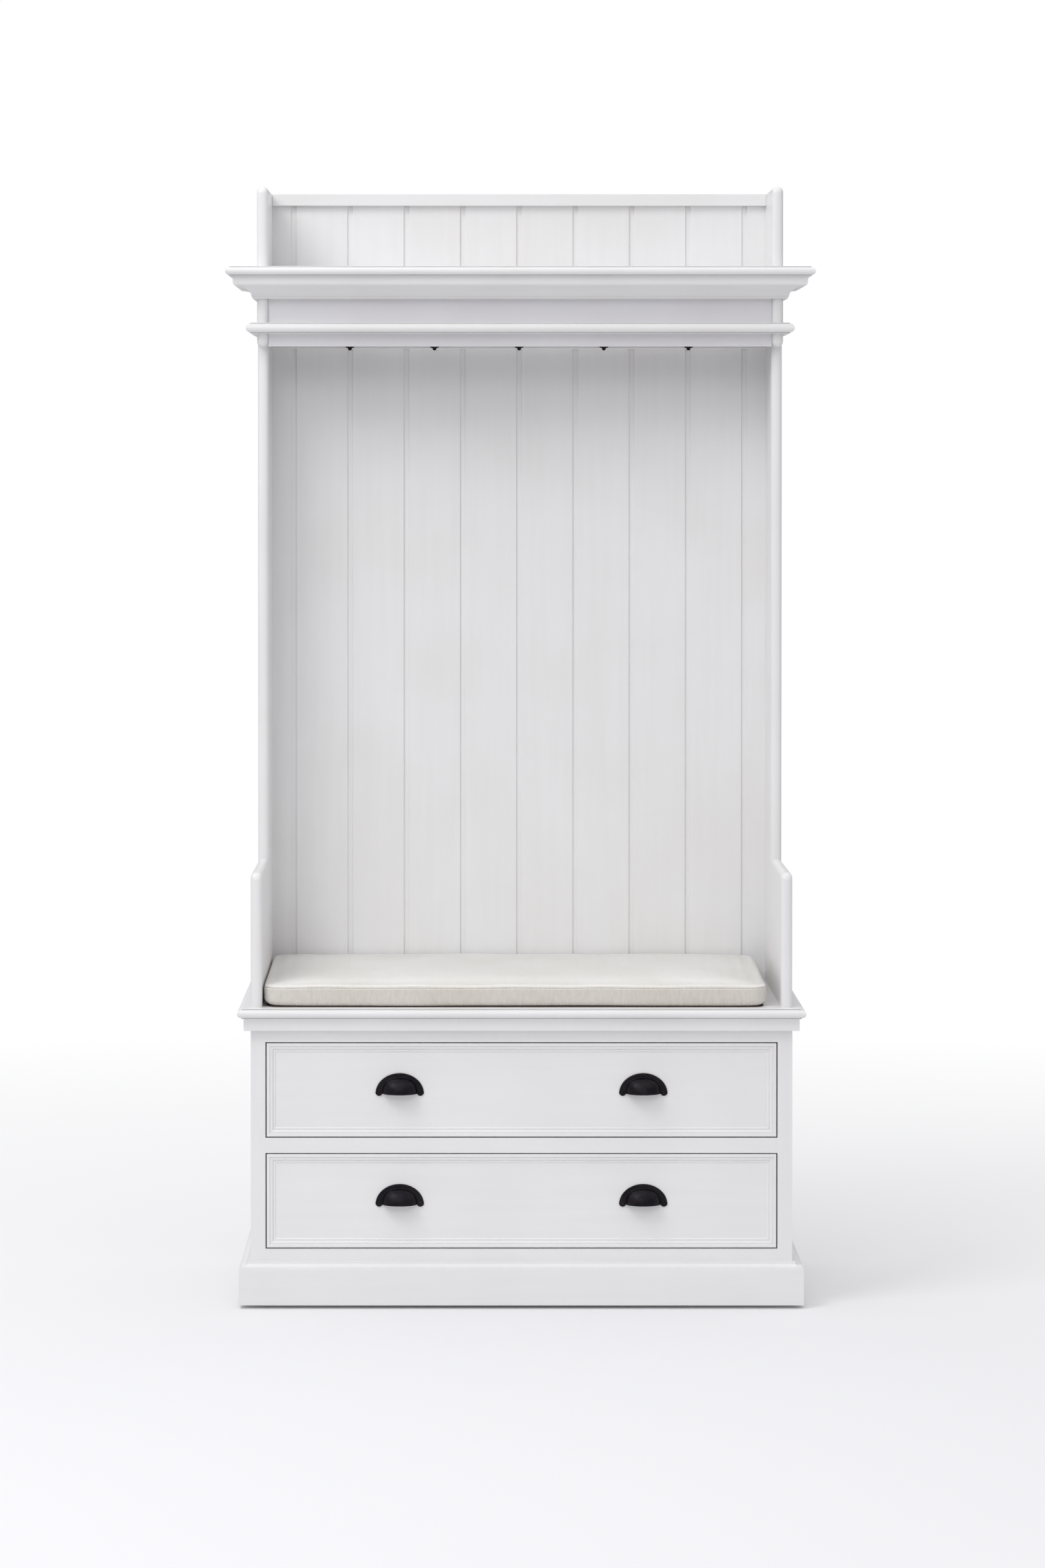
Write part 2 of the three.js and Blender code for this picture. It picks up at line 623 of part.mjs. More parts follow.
// A foam seat pad with a rounded edge and a crowned top.
function addCushion() {
  const r = CUSHION_ROUND;
  const ends = [-HALF_UPPER + CUSHION_LEFT_GAP, HALF_UPPER - CUSHION_RIGHT_GAP];
  const front = CABINET_FRONT + CUSHION_FRONT_INSET;
  const rear = BOARD_FRONT - CUSHION_REAR_GAP;
  const middle = (front + rear) / 2;
  const half = rear - middle;
  const foot = SEAT + REST_GAP;
  const crown = (y) => CUSHION_CROWN * (1 - ((y - middle) / half) ** 2);
  const top = Array.from({ length: 9 }, (_, i) => {
    const y = rear - r - ((rear - front - 2 * r) * i) / 8;
    return [y, foot + CUSHION_EDGE_H + crown(y) - crown(rear - r)];
  });
  const shoulder = foot + CUSHION_EDGE_H - r;
  const outline = [
    ...arc([front + r, foot + r], r, r, 180, 270, 3),
    ...arc([rear - r, foot + r], r, r, 270, 360, 3),
    [rear, shoulder],
    ...top,
    [front, shoulder],
  ];
  add("seat_cushion", prism(outline, "x", ends), ivoryCloth);
}

addPlinth();
addCabinet();
addUpperFrame();
addBackBoards();
addCornice();
addHooks();
const pull = pullShape();
addDrawer("upper", UPPER_OPENING, pull);
addDrawer("lower", LOWER_OPENING, pull);
addCushion();

export default hallTree;
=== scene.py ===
import math

import bmesh
import bpy
import numpy as np
from mathutils import Matrix, Vector


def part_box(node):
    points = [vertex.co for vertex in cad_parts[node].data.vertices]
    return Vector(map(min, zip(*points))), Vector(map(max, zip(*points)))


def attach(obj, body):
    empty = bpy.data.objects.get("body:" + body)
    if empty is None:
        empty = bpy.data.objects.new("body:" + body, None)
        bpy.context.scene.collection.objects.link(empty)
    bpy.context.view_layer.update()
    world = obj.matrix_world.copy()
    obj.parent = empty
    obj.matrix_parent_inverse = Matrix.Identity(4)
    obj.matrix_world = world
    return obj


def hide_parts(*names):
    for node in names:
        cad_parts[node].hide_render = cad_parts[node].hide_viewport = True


MM = 0.001

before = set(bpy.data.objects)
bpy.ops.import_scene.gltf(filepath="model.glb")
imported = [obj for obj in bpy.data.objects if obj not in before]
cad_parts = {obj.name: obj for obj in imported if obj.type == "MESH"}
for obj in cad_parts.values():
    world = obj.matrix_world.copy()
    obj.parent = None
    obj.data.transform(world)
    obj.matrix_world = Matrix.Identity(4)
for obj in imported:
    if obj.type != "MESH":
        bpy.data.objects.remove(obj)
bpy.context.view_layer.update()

# ---- Sizes, in millimetres ----
EASE = 1.2  # rounding of a free board edge
JOINT_EASE = 0.12  # rounding of an edge that meets a neighbour flush
PLINTH_EASE = 0.8
GLIDE_EASE = 0.6
SEAM_EASE = 0.9  # along the rear of each joint of the back
NOSE_FILLET = 2.0
QUIRK = 1.5  # depth of the narrow groove beside a half-round
ARC_STEPS = 14
CHANNEL_WIDTH = 9.5  # between neighbouring back boards
CHANNEL_DEPTH = 3.0
CHANNEL_EASE = 1.1  # rounding of a board's face into a channel
CUP_WIDTH = 62.0
CUP_HEIGHT = 28.0
CUP_FULLNESS = 2.5  # 2 is an ellipsoid; more squares its shoulders
CUP_WALL = 2.5
CUP_LIP_RADIUS = 1.7
RIM_THICKNESS = 2.5
RIM_SCREW = 3.2  # the upper screw, below the rim's top
LUG_RADIUS = 6.5
LUG_LIFT = 2.5
CAST_VOXEL = 0.7  # detail kept in a cast piece
HOOK_PLATE = 3.0  # thickness of the wall plate
HOOK_PLATE_RATIO = 3  # its height over its width
HOOK_BALL = 6.0
HOOK_ROD = 3.6
SCREW_HEAD_RADIUS = 2.9
SCREW_HEAD_HEIGHT = 1.3
SCREW_SLOT_WIDTH = 0.8
CUSHION_EDGE = 7.0  # rounding along the cushion's edges
CUSHION_CORNER = 24.0
CUSHION_WALL = 36.0
BASE_CLOTH = 1.6
CUSHION_GRID = 8.0
EDGE_FULLNESS = 0.7  # the most that the filling moves the cover at its edge
CUSHION_FULLNESS = 9.0  # and what is added to it towards the middle
CUSHION_DENTS = [(0.7, 61.0, 47.0, 0.4), (0.5, 27.0, 83.0, 2.1), (0.25, 13.0, 31.0, 4.0)]
CUSHION_SLACK = [(0.9, 95.0, 400.0, 1.5), (0.5, 33.0, 210.0, 0.9)]
COVER_CLOTH = {"use_pressure": True, "uniform_pressure_force": 4.0, "quality": 5, "mass": 0.3}
COVER_CLOTH |= {"tension_stiffness": 25, "compression_stiffness": 25, "bending_stiffness": 0.6}
SIM_FRAMES = 20
SEAM_BELOW = 5.0  # from the upper front edge
SEAM_DROP = 1.5
STITCH_LENGTH = 3.0
STITCH_PITCH = 4.4
STITCH_RADIUS = 0.42

# ---- Views and light, in metres ----
LENS = 95.9
CAMERA_PLACE = (-0.088, -7.589, 1.489)
CAMERA_PITCH = 0.8
CAMERA_SHIFT = (0.0323, -0.165)
DOME_LEVEL = 0.41  # brightness of the studio round the horizon
DOME_ZENITH = 0.86  # added towards the ceiling
SWEEP_START = (0.0, -1.2, 0.0)
SWEEP_FADE = (0.9, 4.6)  # from paper to glow, measured from the start
SWEEP_LIGHT = 0.5  # how much of the sweep's whiteness falls on the furniture
SOFTBOXES = {  # place, aim, size, power in watts
    "high_left": ((-2.3, -2.3, 4.3), (0, 0, 0.9), (2.0, 2.0), 68),
    "front": ((-1.5, -8.4, 5.0), (0, 0, 0.9), (3.0, 2.0), 67),
}


# ---- Small helpers ----
def linear(hex_colour):
    """An sRGB hex colour as linear red, green, blue and alpha."""
    values = [int(hex_colour[i : i + 2], 16) / 255 for i in (1, 3, 5)]
    to_linear = lambda v: v / 12.92 if v <= 0.04045 else ((v + 0.055) / 1.055) ** 2.4
    return (*[to_linear(v) for v in values], 1.0)


def add_node(tree, kind, inputs=(), stops=(), **settings):
    """Adds a node with its settings, its (position, hex colour) stops and its links. The inputs
    are listed in order or by name; each is a value, or a node or an output to link."""
    made = tree.nodes.new(kind)
    for key, value in settings.items():
        setattr(made, key, value)
    for key, value in inputs.items() if isinstance(inputs, dict) else enumerate(inputs):
        if isinstance(value, bpy.types.Node):
            value = next(output for output in value.outputs if output.enabled)
        if isinstance(value, bpy.types.NodeSocket):
            tree.links.new(value, made.inputs[key])
        else:
            made.inputs[key].default_value = value
    for index, (position, colour) in enumerate(stops):
        elements = made.color_ramp.elements
        element = elements[index] if index < len(elements) else elements.new(position)
        element.position = position
        element.color = linear(colour)
    return made


def evaluated_mesh(obj):
    """The object's mesh with its modifiers applied, as plain data."""
    graph = bpy.context.evaluated_depsgraph_get()
    return bpy.data.meshes.new_from_object(obj.evaluated_get(graph), depsgraph=graph)


def scratch(mesh, name="scratch"):
    obj = bpy.data.objects.new(name, mesh)
    bpy.context.scene.collection.objects.link(obj)
    return obj


def drop(*objs):
    for obj in objs:
        bpy.data.objects.remove(obj)


def with_modifiers(mesh, *modifiers):
    """Applies modifiers, given as (type, settings), to a mesh."""
    obj = scratch(mesh)
    for kind, settings in modifiers:
        modifier = obj.modifiers.new(kind, kind)
        for key, value in settings.items():
            setattr(modifier, key, value)
    result = evaluated_mesh(obj)
    drop(obj)
    return result


def mesh_of(bm, name="shape"):
    mesh = bpy.data.meshes.new(name)
    bmesh.ops.recalc_face_normals(bm, faces=bm.faces)
    bm.to_mesh(mesh)
    bm.free()
    return mesh


def polygon_mesh(vertices, faces, name="shape"):
    mesh = bpy.data.meshes.new(name)
    mesh.from_pydata(vertices, [], faces)
    bm = bmesh.new()
    bm.from_mesh(mesh)
    bpy.data.meshes.remove(mesh)
    return mesh_of(bm, name)


def smooth(mesh, angle=32):
    """Smooth shading up to an angle, with flat faces kept flat beside their rounded edges."""
    mesh.shade_smooth()
    mesh.set_sharp_from_angle(angle=math.radians(angle))
    return with_modifiers(mesh, ("WEIGHTED_NORMAL", {"keep_sharp": True, "weight": 100}))


def finished(name, mesh, finish, slot, body, *stands_for):
    """Adds a finished piece that rides on a body and stands for CAD nodes."""
    mesh.name = name
    mesh.materials.clear()
    mesh.materials.append(finish)
    obj = scratch(mesh, name)
    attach(obj, body)
    if stands_for:
        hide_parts(*stands_for)
    return obj


def arc(centre, radii, start, end, steps=ARC_STEPS):
    """Points of an elliptical arc between two angles in degrees."""
    turn = [math.radians(start + (end - start) * i / steps) for i in range(steps + 1)]
    return [(centre[0] + radii[0] * math.cos(a), centre[1] + radii[1] * math.sin(a)) for a in turn]


def box_mm(node):
    """The lowest and highest corners of a CAD node, in millimetres."""
    low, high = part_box(node)
    return [v / MM for v in low], [v / MM for v in high]


def row_of(prefix):
    """The names of a numbered row of CAD pieces, in order."""
    count = len([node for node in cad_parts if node.startswith(prefix)])
    return [f"{prefix}{i + 1}" for i in range(count)]


def bands(rings, size, first=0, closed=True):
    """The faces between neighbouring rings of points, which follow one another in a mesh."""
    faces = []
    for ring in range(rings - 1):
        start = first + ring * size
        for i in range(size if closed else size - 1):
            a, b = start + i, start + (i + 1) % size
            faces.append((a, b, b + size, a + size))
    return faces


# ---- Materials ----
LAID_OVER = {"data_type": "RGBA", "blend_type": "MULTIPLY"}  # one thin coat over another


def new_material(name):
    material = bpy.data.materials.new(name)
    material.use_nodes = True
    tree = material.node_tree
    tree.nodes.clear()
    place = add_node(tree, "ShaderNodeTexCoord").outputs["Object"]
    return material, tree, place


def grain_pattern(tree, place, size_mm, stretch=None, detail=3.0, roughness=0.5):
    """Noise whose grain is about size_mm across, and longer along an axis with a small stretch."""
    per_metre = 1 / (size_mm * MM)
    scale = [per_metre * (stretch or {}).get(axis, 1) for axis in "xyz"]
    spread = add_node(tree, "ShaderNodeMapping", {"Vector": place, "Scale": scale})
    inputs = {"Vector": spread, "Scale": 1.0, "Detail": detail, "Roughness": roughness}
    return add_node(tree, "ShaderNodeTexNoise", inputs)


def surfaced(tree, inputs, *layers):
    """Ends a material: a surface with these inputs, bumped by (height, depth in mm) layers that
    lie one on another."""
    normal = {}
    for height, depth in layers:
        bump = {"Height": height, "Distance": depth * MM, "Strength": 1.0, **normal}
        normal = {"Normal": add_node(tree, "ShaderNodeBump", bump)}
    surface = add_node(tree, "ShaderNodeBsdfPrincipled", {**inputs, **normal})
    add_node(tree, "ShaderNodeOutputMaterial", {"Surface": surface})


def white_lacquer(name, along, dull="#ebeaea", clean="#eeeeef"):
    """Water-based white lacquer, sprayed and laid off by brush on hardwood: semi-gloss, with faint
    long strokes and the wood's grain just telling through, and slightly warmer, duller patches."""
    material, tree, place = new_material(name)
    strokes = grain_pattern(tree, place, 3.0, {along: 0.03}, detail=4.0)
    grain = grain_pattern(tree, place, 14.0, {along: 0.05}, detail=5.0)
    patches = grain_pattern(tree, place, 180.0, detail=2.0)
    speck = grain_pattern(tree, place, 1.2, detail=1.0)
    tone = add_node(tree, "ShaderNodeValToRGB", [patches], [(0.3, dull), (0.7, clean)])
    stops = [(0.35, "#faf9f8"), (0.65, "#ffffff")]
    streak = add_node(tree, "ShaderNodeValToRGB", [grain], stops)
    mix = {"Factor": 0.35, "A": tone, "B": streak}
    colour = add_node(tree, "ShaderNodeMix", mix, **LAID_OVER)
    gloss = add_node(tree, "ShaderNodeMapRange", [strokes, 0.3, 0.7, 0.3, 0.46])
    paint = {"Base Color": colour, "Roughness": gloss, "IOR": 1.5}
    paint |= {"Coat Weight": 0.15, "Coat Roughness": 0.25}
    surfaced(tree, paint, (strokes, 0.012), (grain, 0.03), (speck, 0.006))
    return material


def hardwood(name, along, dark, light):
    """Plain-sawn tropical hardwood under a thin clear sealer: straight brown figure with short dark
    pores, satin where the sealer lies and drier along the pores."""
    material, tree, place = new_material(name)
    figure = grain_pattern(tree, place, 22.0, {along: 0.06}, detail=6.0, roughness=0.6)
    pores = grain_pattern(tree, place, 1.6, {along: 0.04}, detail=2.0)
    stops = [(0.28, dark), (0.52, light), (0.74, dark)]
    board = add_node(tree, "ShaderNodeValToRGB", [figure], stops)
    stops = [(0.32, "#8a7464"), (0.44, "#ffffff")]
    pits = add_node(tree, "ShaderNodeValToRGB", [pores], stops)
    mix = {"Factor": 0.8, "A": board, "B": pits}
    colour = add_node(tree, "ShaderNodeMix", mix, **LAID_OVER)
    sealer = add_node(tree, "ShaderNodeMapRange", [pores, 0.3, 0.6, 0.62, 0.45])
    wood = {"Base Color": colour, "Roughness": sealer, "IOR": 1.5}
    surfaced(tree, wood, (figure, 0.15), (pores, 0.12))
    return material


def dark_casting(name, deep, rubbed, amount):
    """Cast zinc, iron or steel, cloudy and satin with a fine grain: nearly black under a patina
    that is rubbed thin and brown in places, or grey where it is plated."""
    material, tree, place = new_material(name)
    cloud = grain_pattern(tree, place, 16.0, detail=4.0)
    grit = grain_pattern(tree, place, 1.1, detail=2.0)
    colour = add_node(tree, "ShaderNodeValToRGB", [cloud], [(0.4, deep), (0.78, rubbed)])
    satin = add_node(tree, "ShaderNodeMapRange", [cloud, 0.3, 0.7, 0.34, 0.5])
    metal = {"Base Color": colour, "Metallic": amount, "Roughness": satin}
    surfaced(tree, metal, (cloud, 0.25), (grit, 0.06))
    return material


def herringbone_cotton(name):
    """Heavy ivory cotton in a herringbone weave: matt, with ribs at 45 degrees that turn at each
    13 mm column, dips a little darker than the yarn as painted shade, and a soft fuzz that catches
    side light.
    Faces that look up are made paler and evener than the sides, for a bright top."""
    material, tree, place = new_material(name)
    column = 13 * MM
    rib = 3.7 * MM  # along the cloth; 2.6 mm across the slanting yarn
    x, y, z = add_node(tree, "ShaderNodeSeparateXYZ", [place]).outputs
    facing = add_node(tree, "ShaderNodeNewGeometry").outputs["Normal"]
    to_side, _, to_top = add_node(tree, "ShaderNodeSeparateXYZ", [facing]).outputs
    tilt = add_node(tree, "ShaderNodeMath", [to_side], operation="ABSOLUTE")
    end_panel = add_node(tree, "ShaderNodeMath", [tilt, 0.75], operation="GREATER_THAN")
    panel = {"Factor": end_panel, "A": x, "B": y}
    across = add_node(tree, "ShaderNodeMix", panel, data_type="FLOAT")
    depth = add_node(tree, "ShaderNodeMath", [y, z], operation="ADD")
    panel = {"Factor": end_panel, "A": depth, "B": z}
    along = add_node(tree, "ShaderNodeMix", panel, data_type="FLOAT")
    pull = grain_pattern(tree, place, 60.0, detail=1.0)
    wobble = add_node(tree, "ShaderNodeMapRange", [pull, 0.0, 1.0, -0.6 * MM, 0.6 * MM])
    pulled = add_node(tree, "ShaderNodeMath", [across, wobble], operation="ADD")
    zigzag = add_node(tree, "ShaderNodeMath", [pulled, column], operation="PINGPONG")
    columns = add_node(tree, "ShaderNodeMath", [across, column], operation="DIVIDE")
    index = add_node(tree, "ShaderNodeMath", [columns], operation="FLOOR")
    slanted = add_node(tree, "ShaderNodeMath", [along, zigzag], operation="ADD")
    step = [index, rib / 2, slanted]
    stepped = add_node(tree, "ShaderNodeMath", step, operation="MULTIPLY_ADD")
    turns = [stepped, 2 * math.pi / rib]
    phase = add_node(tree, "ShaderNodeMath", turns, operation="MULTIPLY")
    ribs = add_node(tree, "ShaderNodeMath", [phase], operation="SINE")
    turns = [across, 2 * math.pi / (1.3 * MM)]
    phase = add_node(tree, "ShaderNodeMath", turns, operation="MULTIPLY")
    yarn = add_node(tree, "ShaderNodeMath", [phase], operation="SINE")
    height = add_node(tree, "ShaderNodeMath", [yarn, 0.25, ribs], operation="MULTIPLY_ADD")
    slub = grain_pattern(tree, place, 5.0, {"y": 0.3, "z": 0.3}, detail=3.0)
    uneven = add_node(tree, "ShaderNodeMapRange", [slub, 0.3, 0.7, -0.4, 0.4])
    shade = add_node(tree, "ShaderNodeMath", [height, uneven], operation="ADD")
    # Painted shade: the weave's low dips take the darker end of the colour ramps below; the slubs
    # add their own unevenness.
    level = add_node(tree, "ShaderNodeMapRange", [shade, -1.7, 1.7, 0.0, 1.0])
    stops = [(0.1, "#cbc5bd"), (0.85, "#e8e5df")]
    side = add_node(tree, "ShaderNodeValToRGB", [level], stops)
    # Painted light: faces that look up get this paler, evener weave, a brighter top from the light
    # above.
    stops = [(0.1, "#f0eeea"), (0.85, "#f9f8f5")]
    upper = add_node(tree, "ShaderNodeValToRGB", [level], stops)
    painted_top_light = add_node(tree, "ShaderNodeMapRange", [to_top, 0.3, 0.95, 0.0, 1.0])
    mix = {"Factor": painted_top_light, "A": side, "B": upper}
    weave = add_node(tree, "ShaderNodeMix", mix, data_type="RGBA")
    cloud = grain_pattern(tree, place, 140.0, detail=2.0)
    stops = [(0.35, "#f7f5f1"), (0.65, "#ffffff")]
    tint = add_node(tree, "ShaderNodeValToRGB", [cloud], stops)
    mix = {"Factor": 0.7, "A": weave, "B": tint}
    colour = add_node(tree, "ShaderNodeMix", mix, **LAID_OVER)
    matt = add_node(tree, "ShaderNodeMapRange", [shade, -1.5, 1.5, 0.97, 0.85])
    cloth = {"Base Color": colour, "Roughness": matt, "IOR": 1.45}
    cloth |= {"Sheen Weight": 1.0, "Sheen Roughness": 0.25}
    surfaced(tree, cloth, (slub, 0.1), (height, 0.12))
    return material


def cotton_thread(name):
    """Twisted cotton sewing thread, a shade darker than the cloth."""
    material, tree, place = new_material(name)
    twist = grain_pattern(tree, place, 0.9, detail=2.0)
    stops = [(0.3, "#cfc8ba"), (0.7, "#ece8de")]
    colour = add_node(tree, "ShaderNodeValToRGB", [twist], stops)
    surfaced(tree, {"Base Color": colour, "Roughness": 0.8}, (twist, 0.15))
    return material


def base_cloth(name):
    """Spun-bonded cloth on the underside: matt, with bonded dots and loose fibres, and a dark brown
    that is painted shade, the tone of the shaded gap under the cushion.
    """
    material, tree, place = new_material(name)
    fibres = grain_pattern(tree, place, 1.5, detail=4.0)
    # Painted shade: these dark browns are the tone of the gap under the cushion in shade.
    stops = [(0.35, "#2a1b12"), (0.7, "#4a3426")]
    colour = add_node(tree, "ShaderNodeValToRGB", [fibres], stops)
    surfaced(tree, {"Base Color": colour, "Roughness": 0.92}, (fibres, 0.12))
    return material


def moulded_glide(name):
    """Black polyethylene glide, moulded and scuffed where it has slid."""
    material, tree, place = new_material(name)
    scuffs = grain_pattern(tree, place, 2.5, detail=4.0)
    stops = [(0.35, "#1c1b1a"), (0.75, "#34322f")]
    colour = add_node(tree, "ShaderNodeValToRGB", [scuffs], stops)
    rubbed = add_node(tree, "ShaderNodeMapRange", [scuffs, 0.3, 0.7, 0.45, 0.75])
    surfaced(tree, {"Base Color": colour, "Roughness": rubbed}, (scuffs, 0.1))
    return material


PAINT_UPRIGHT = white_lacquer("white_lacquer_upright", "z")
PAINT_LEVEL = white_lacquer("white_lacquer_level", "x")
# A shade greyer than the boards round it.
# The greyer tone is painted shade, for the shadow that falls under the crown.
FRIEZE_PAINTED_SHADE = white_lacquer("white_lacquer_frieze_painted_shade", "x", "#e2e0e4", "#e6e5e8")
PAINT_DEEP = white_lacquer("white_lacquer_deep", "y")
WOOD_LEVEL = hardwood("sealed_hardwood_level", "x", "#8a5a3c", "#b07c55")
WOOD_DEEP = hardwood("sealed_hardwood_deep", "y", "#8a5a3c", "#b07c55")
PULL_BRONZE = dark_casting("rubbed_bronze", "#100e17", "#251f23", 0.7)
HOOK_IRON = dark_casting("black_iron", "#100f13", "#2a2523", 0.6)
SCREW_BRONZE = dark_casting("bronzed_screw", "#15121a", "#3a302c", 0.8)
STEEL = dark_casting("zinc_plated_steel", "#8e8f8c", "#b5b4ac", 1.0)
COTTON = herringbone_cotton("herringbone_cotton")
THREAD = cotton_thread("cotton_thread")
BASE = base_cloth("spunbonded_base_cloth_painted_shade")
GLIDE = moulded_glide("moulded_glide")


def painted(node, kind, mesh, finish=PAINT_LEVEL, body="cabinet"):
    """Adds a painted piece in the place of a CAD node."""
    finished(f"{node}_{kind}", mesh, finish, "white_paint", body, node)


# ---- Boards ----
def eased_box(low, high, ease):
    """A board with rounded edges, from its corners in millimetres."""
    bm = bmesh.new()
    bmesh.ops.create_cube(bm, size=1.0)
    for v in bm.verts:
        v.co = Vector([(high[i] if v.co[i] > 0 else low[i]) * MM for i in range(3)])
    rounding = {"offset": ease * MM, "segments": 3, "profile": 0.5, "affect": "EDGES"}
    bmesh.ops.bevel(bm, geom=bm.edges[:], **rounding)
    return smooth(mesh_of(bm), angle=40)


def eased_copy(node, ease):
    """A CAD piece's own shape with its triangles merged back to faces and its edges rounded."""
    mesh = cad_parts[node].data.copy()
    bm = bmesh.new()
    bm.from_mesh(mesh)
    bmesh.ops.remove_doubles(bm, verts=bm.verts, dist=0.002 * MM)
    flat = math.radians(0.5)
    bmesh.ops.dissolve_limit(bm, angle_limit=flat, verts=bm.verts, edges=bm.edges)
    corner = math.radians(40)
    edges = [e for e in bm.edges if len(e.link_faces) == 2 and e.calc_face_angle() > corner]
    if ease and edges:
        rounding = {"offset": ease * MM, "segments": 2, "profile": 0.5, "affect": "EDGES"}
        bmesh.ops.bevel(bm, geom=edges, clamp_overlap=True, **rounding)
    return smooth(mesh_of(bm))


def add_boards():
    """The flat boards and glides, each in the place of its solid."""
    boards = [
        ("cabinet_side_left", JOINT_EASE, PAINT_UPRIGHT),
        ("cabinet_side_right", JOINT_EASE, PAINT_UPRIGHT),
        ("bottom_rail", JOINT_EASE, PAINT_LEVEL),
        ("middle_rail", JOINT_EASE, PAINT_LEVEL),
        ("top_rail", JOINT_EASE, PAINT_LEVEL),
        ("cabinet_back", EASE, PAINT_LEVEL),
        ("plinth_back", EASE, PAINT_LEVEL),
        ("back_top_rail", EASE, PAINT_LEVEL),
        ("hook_rail", EASE, PAINT_LEVEL),
        ("hat_shelf", EASE, PAINT_LEVEL),
        # The frieze takes the greyer coat: painted shade under the crown.
        ("frieze_board", EASE, FRIEZE_PAINTED_SHADE),
    ]
    for node, ease, finish in boards:
        painted(node, "eased", eased_box(*box_mm(node), ease), finish)
    for node in ("cabinet_bottom", "drawer_divider"):
        mesh = eased_box(*box_mm(node), EASE)
        finished(node + "_eased", mesh, WOOD_LEVEL, "bare_wood", "cabinet", node)
    for node in ("plinth_front", "plinth_side_left", "plinth_side_right"):
        finish = PAINT_LEVEL if node == "plinth_front" else PAINT_DEEP
        painted(node, "eased", eased_copy(node, PLINTH_EASE), finish)
    for side in ("left", "right"):
        node = f"side_panel_{side}"
        painted(node, "rounded", eased_copy(node, 0), PAINT_UPRIGHT)
        for end in ("front", "rear"):
            node = f"foot_glide_{end}_{side}"
            mesh = eased_copy(node, GLIDE_EASE)
            finished(node + "_moulded", mesh, GLIDE, "glide_felt", "cabinet", node)


# ---- Geometry Nodes trees, and the back boards ----
def new_tree(name, shape, result, **inputs):
    """A Geometry Nodes tree from a named shape to a named result, with other named inputs given
    as (kind, default). Returns the tree, its inputs to link, and their identifiers."""
    tree = bpy.data.node_groups.new(name, "GeometryNodeTree")
    add_socket = tree.interface.new_socket
    add_socket(name=shape, in_out="INPUT", socket_type="NodeSocketGeometry")
    keys = {}
    for key, (kind, default) in inputs.items():
        socket = add_socket(name=key, in_out="INPUT", socket_type="NodeSocket" + kind)
        if default is not None:
            socket.default_value = default
        keys[key] = socket.identifier
    add_socket(name=result, in_out="OUTPUT", socket_type="NodeSocketGeometry")
    return tree, add_node(tree, "NodeGroupInput").outputs, keys


def end_tree(tree, made, finish):
    """Ends a tree: what it has made becomes real geometry in one finish."""
    real = add_node(tree, "GeometryNodeRealizeInstances", {"Geometry": made})
    coated = add_node(tree, "GeometryNodeSetMaterial", {"Geometry": real, "Material": finish})
    add_node(tree, "NodeGroupOutput", [coated])


def run_of_section_tree():
    """Draws a flat section out along an upright length, closed at both ends."""
    inputs = {"Length": ("Float", 1.0), "Finish": ("Material", None)}
    tree, given, keys = new_tree("run_of_section", "Section", "Board", **inputs)
    draw = {"Mesh": given["Section"], "Offset": (0.0, 0.0, 1.0), "Offset Scale": given["Length"]}
    draw["Individual"] = False
    drawn = add_node(tree, "GeometryNodeExtrudeMesh", draw, mode="FACES")
    foot = add_node(tree, "GeometryNodeFlipFaces", {"Mesh": given["Section"]})
    both = add_node(tree, "GeometryNodeJoinGeometry", [drawn])
    tree.links.new(foot.outputs[0], both.inputs[0])
    weld = {"Geometry": both, "Distance": 0.01 * MM}
    end_tree(tree, add_node(tree, "GeometryNodeMergeByDistance", weld), given["Finish"])
    return tree, keys


def grown(mesh, tree, keys, values):
    """Runs a Geometry Nodes tree on a mesh and returns plain mesh data."""
    obj = scratch(mesh)
    modifier = obj.modifiers.new("grow", "NODES")
    modifier.node_group = tree
    for name, value in values.items():
        modifier[keys[name]] = value
    result = evaluated_mesh(obj)
    obj.modifiers.clear()
    drop(obj)
    return result


def section_face(points, z):
    """A flat face from (x, y) points in millimetres, at height z, facing up."""
    mesh = bpy.data.meshes.new("section")
    mesh.from_pydata([(x * MM, y * MM, z * MM) for x, y in points], [], [range(len(points))])
    if mesh.polygons[0].normal.z < 0:
        mesh.flip_normals()
    return mesh


def board_section(left, right, front, rear, first, last):
    """The plan of a back board, from its left rear corner: its joints are eased at the rear, and
    beside a neighbour its face rounds into half a channel."""
    half, r = CHANNEL_WIDTH / 2, CHANNEL_EASE
    floor = front + CHANNEL_DEPTH
    points = [(left + SEAM_EASE, rear), (left, rear - SEAM_EASE)]
    if first:
        points += [(left, front)]
    else:
        points += [(left, floor), (left + half, floor)]
        points += arc((left + half + r, front + r), (r, r), 180, 270, 4)
    if last:
        points += [(right, front)]
    else:
        points += arc((right - half - r, front + r), (r, r), 270, 360, 4)
        points += [(right - half, floor), (right, floor)]
    return points + [(right, rear - SEAM_EASE), (right - SEAM_EASE, rear)]


def add_back_boards():
    """The tongued and grooved boards of the back."""
    tree, keys = run_of_section_tree()
    boards = row_of("back_board_")
    seams = [box_mm(node)[0][0] for node in boards] + [box_mm("hat_shelf")[1][0]]
    for i, node in enumerate(boards):
        low, high = box_mm(node)
        ends = (i == 0, i == len(boards) - 1)
        points = board_section(seams[i], seams[i + 1], low[1], high[1], *ends)
        values = {"Length": (high[2] - low[2]) * MM, "Finish": PAINT_UPRIGHT}
        mesh = smooth(grown(section_face(points, low[2]), tree, keys, values), 40)
        painted(node, "milled", mesh, PAINT_UPRIGHT)


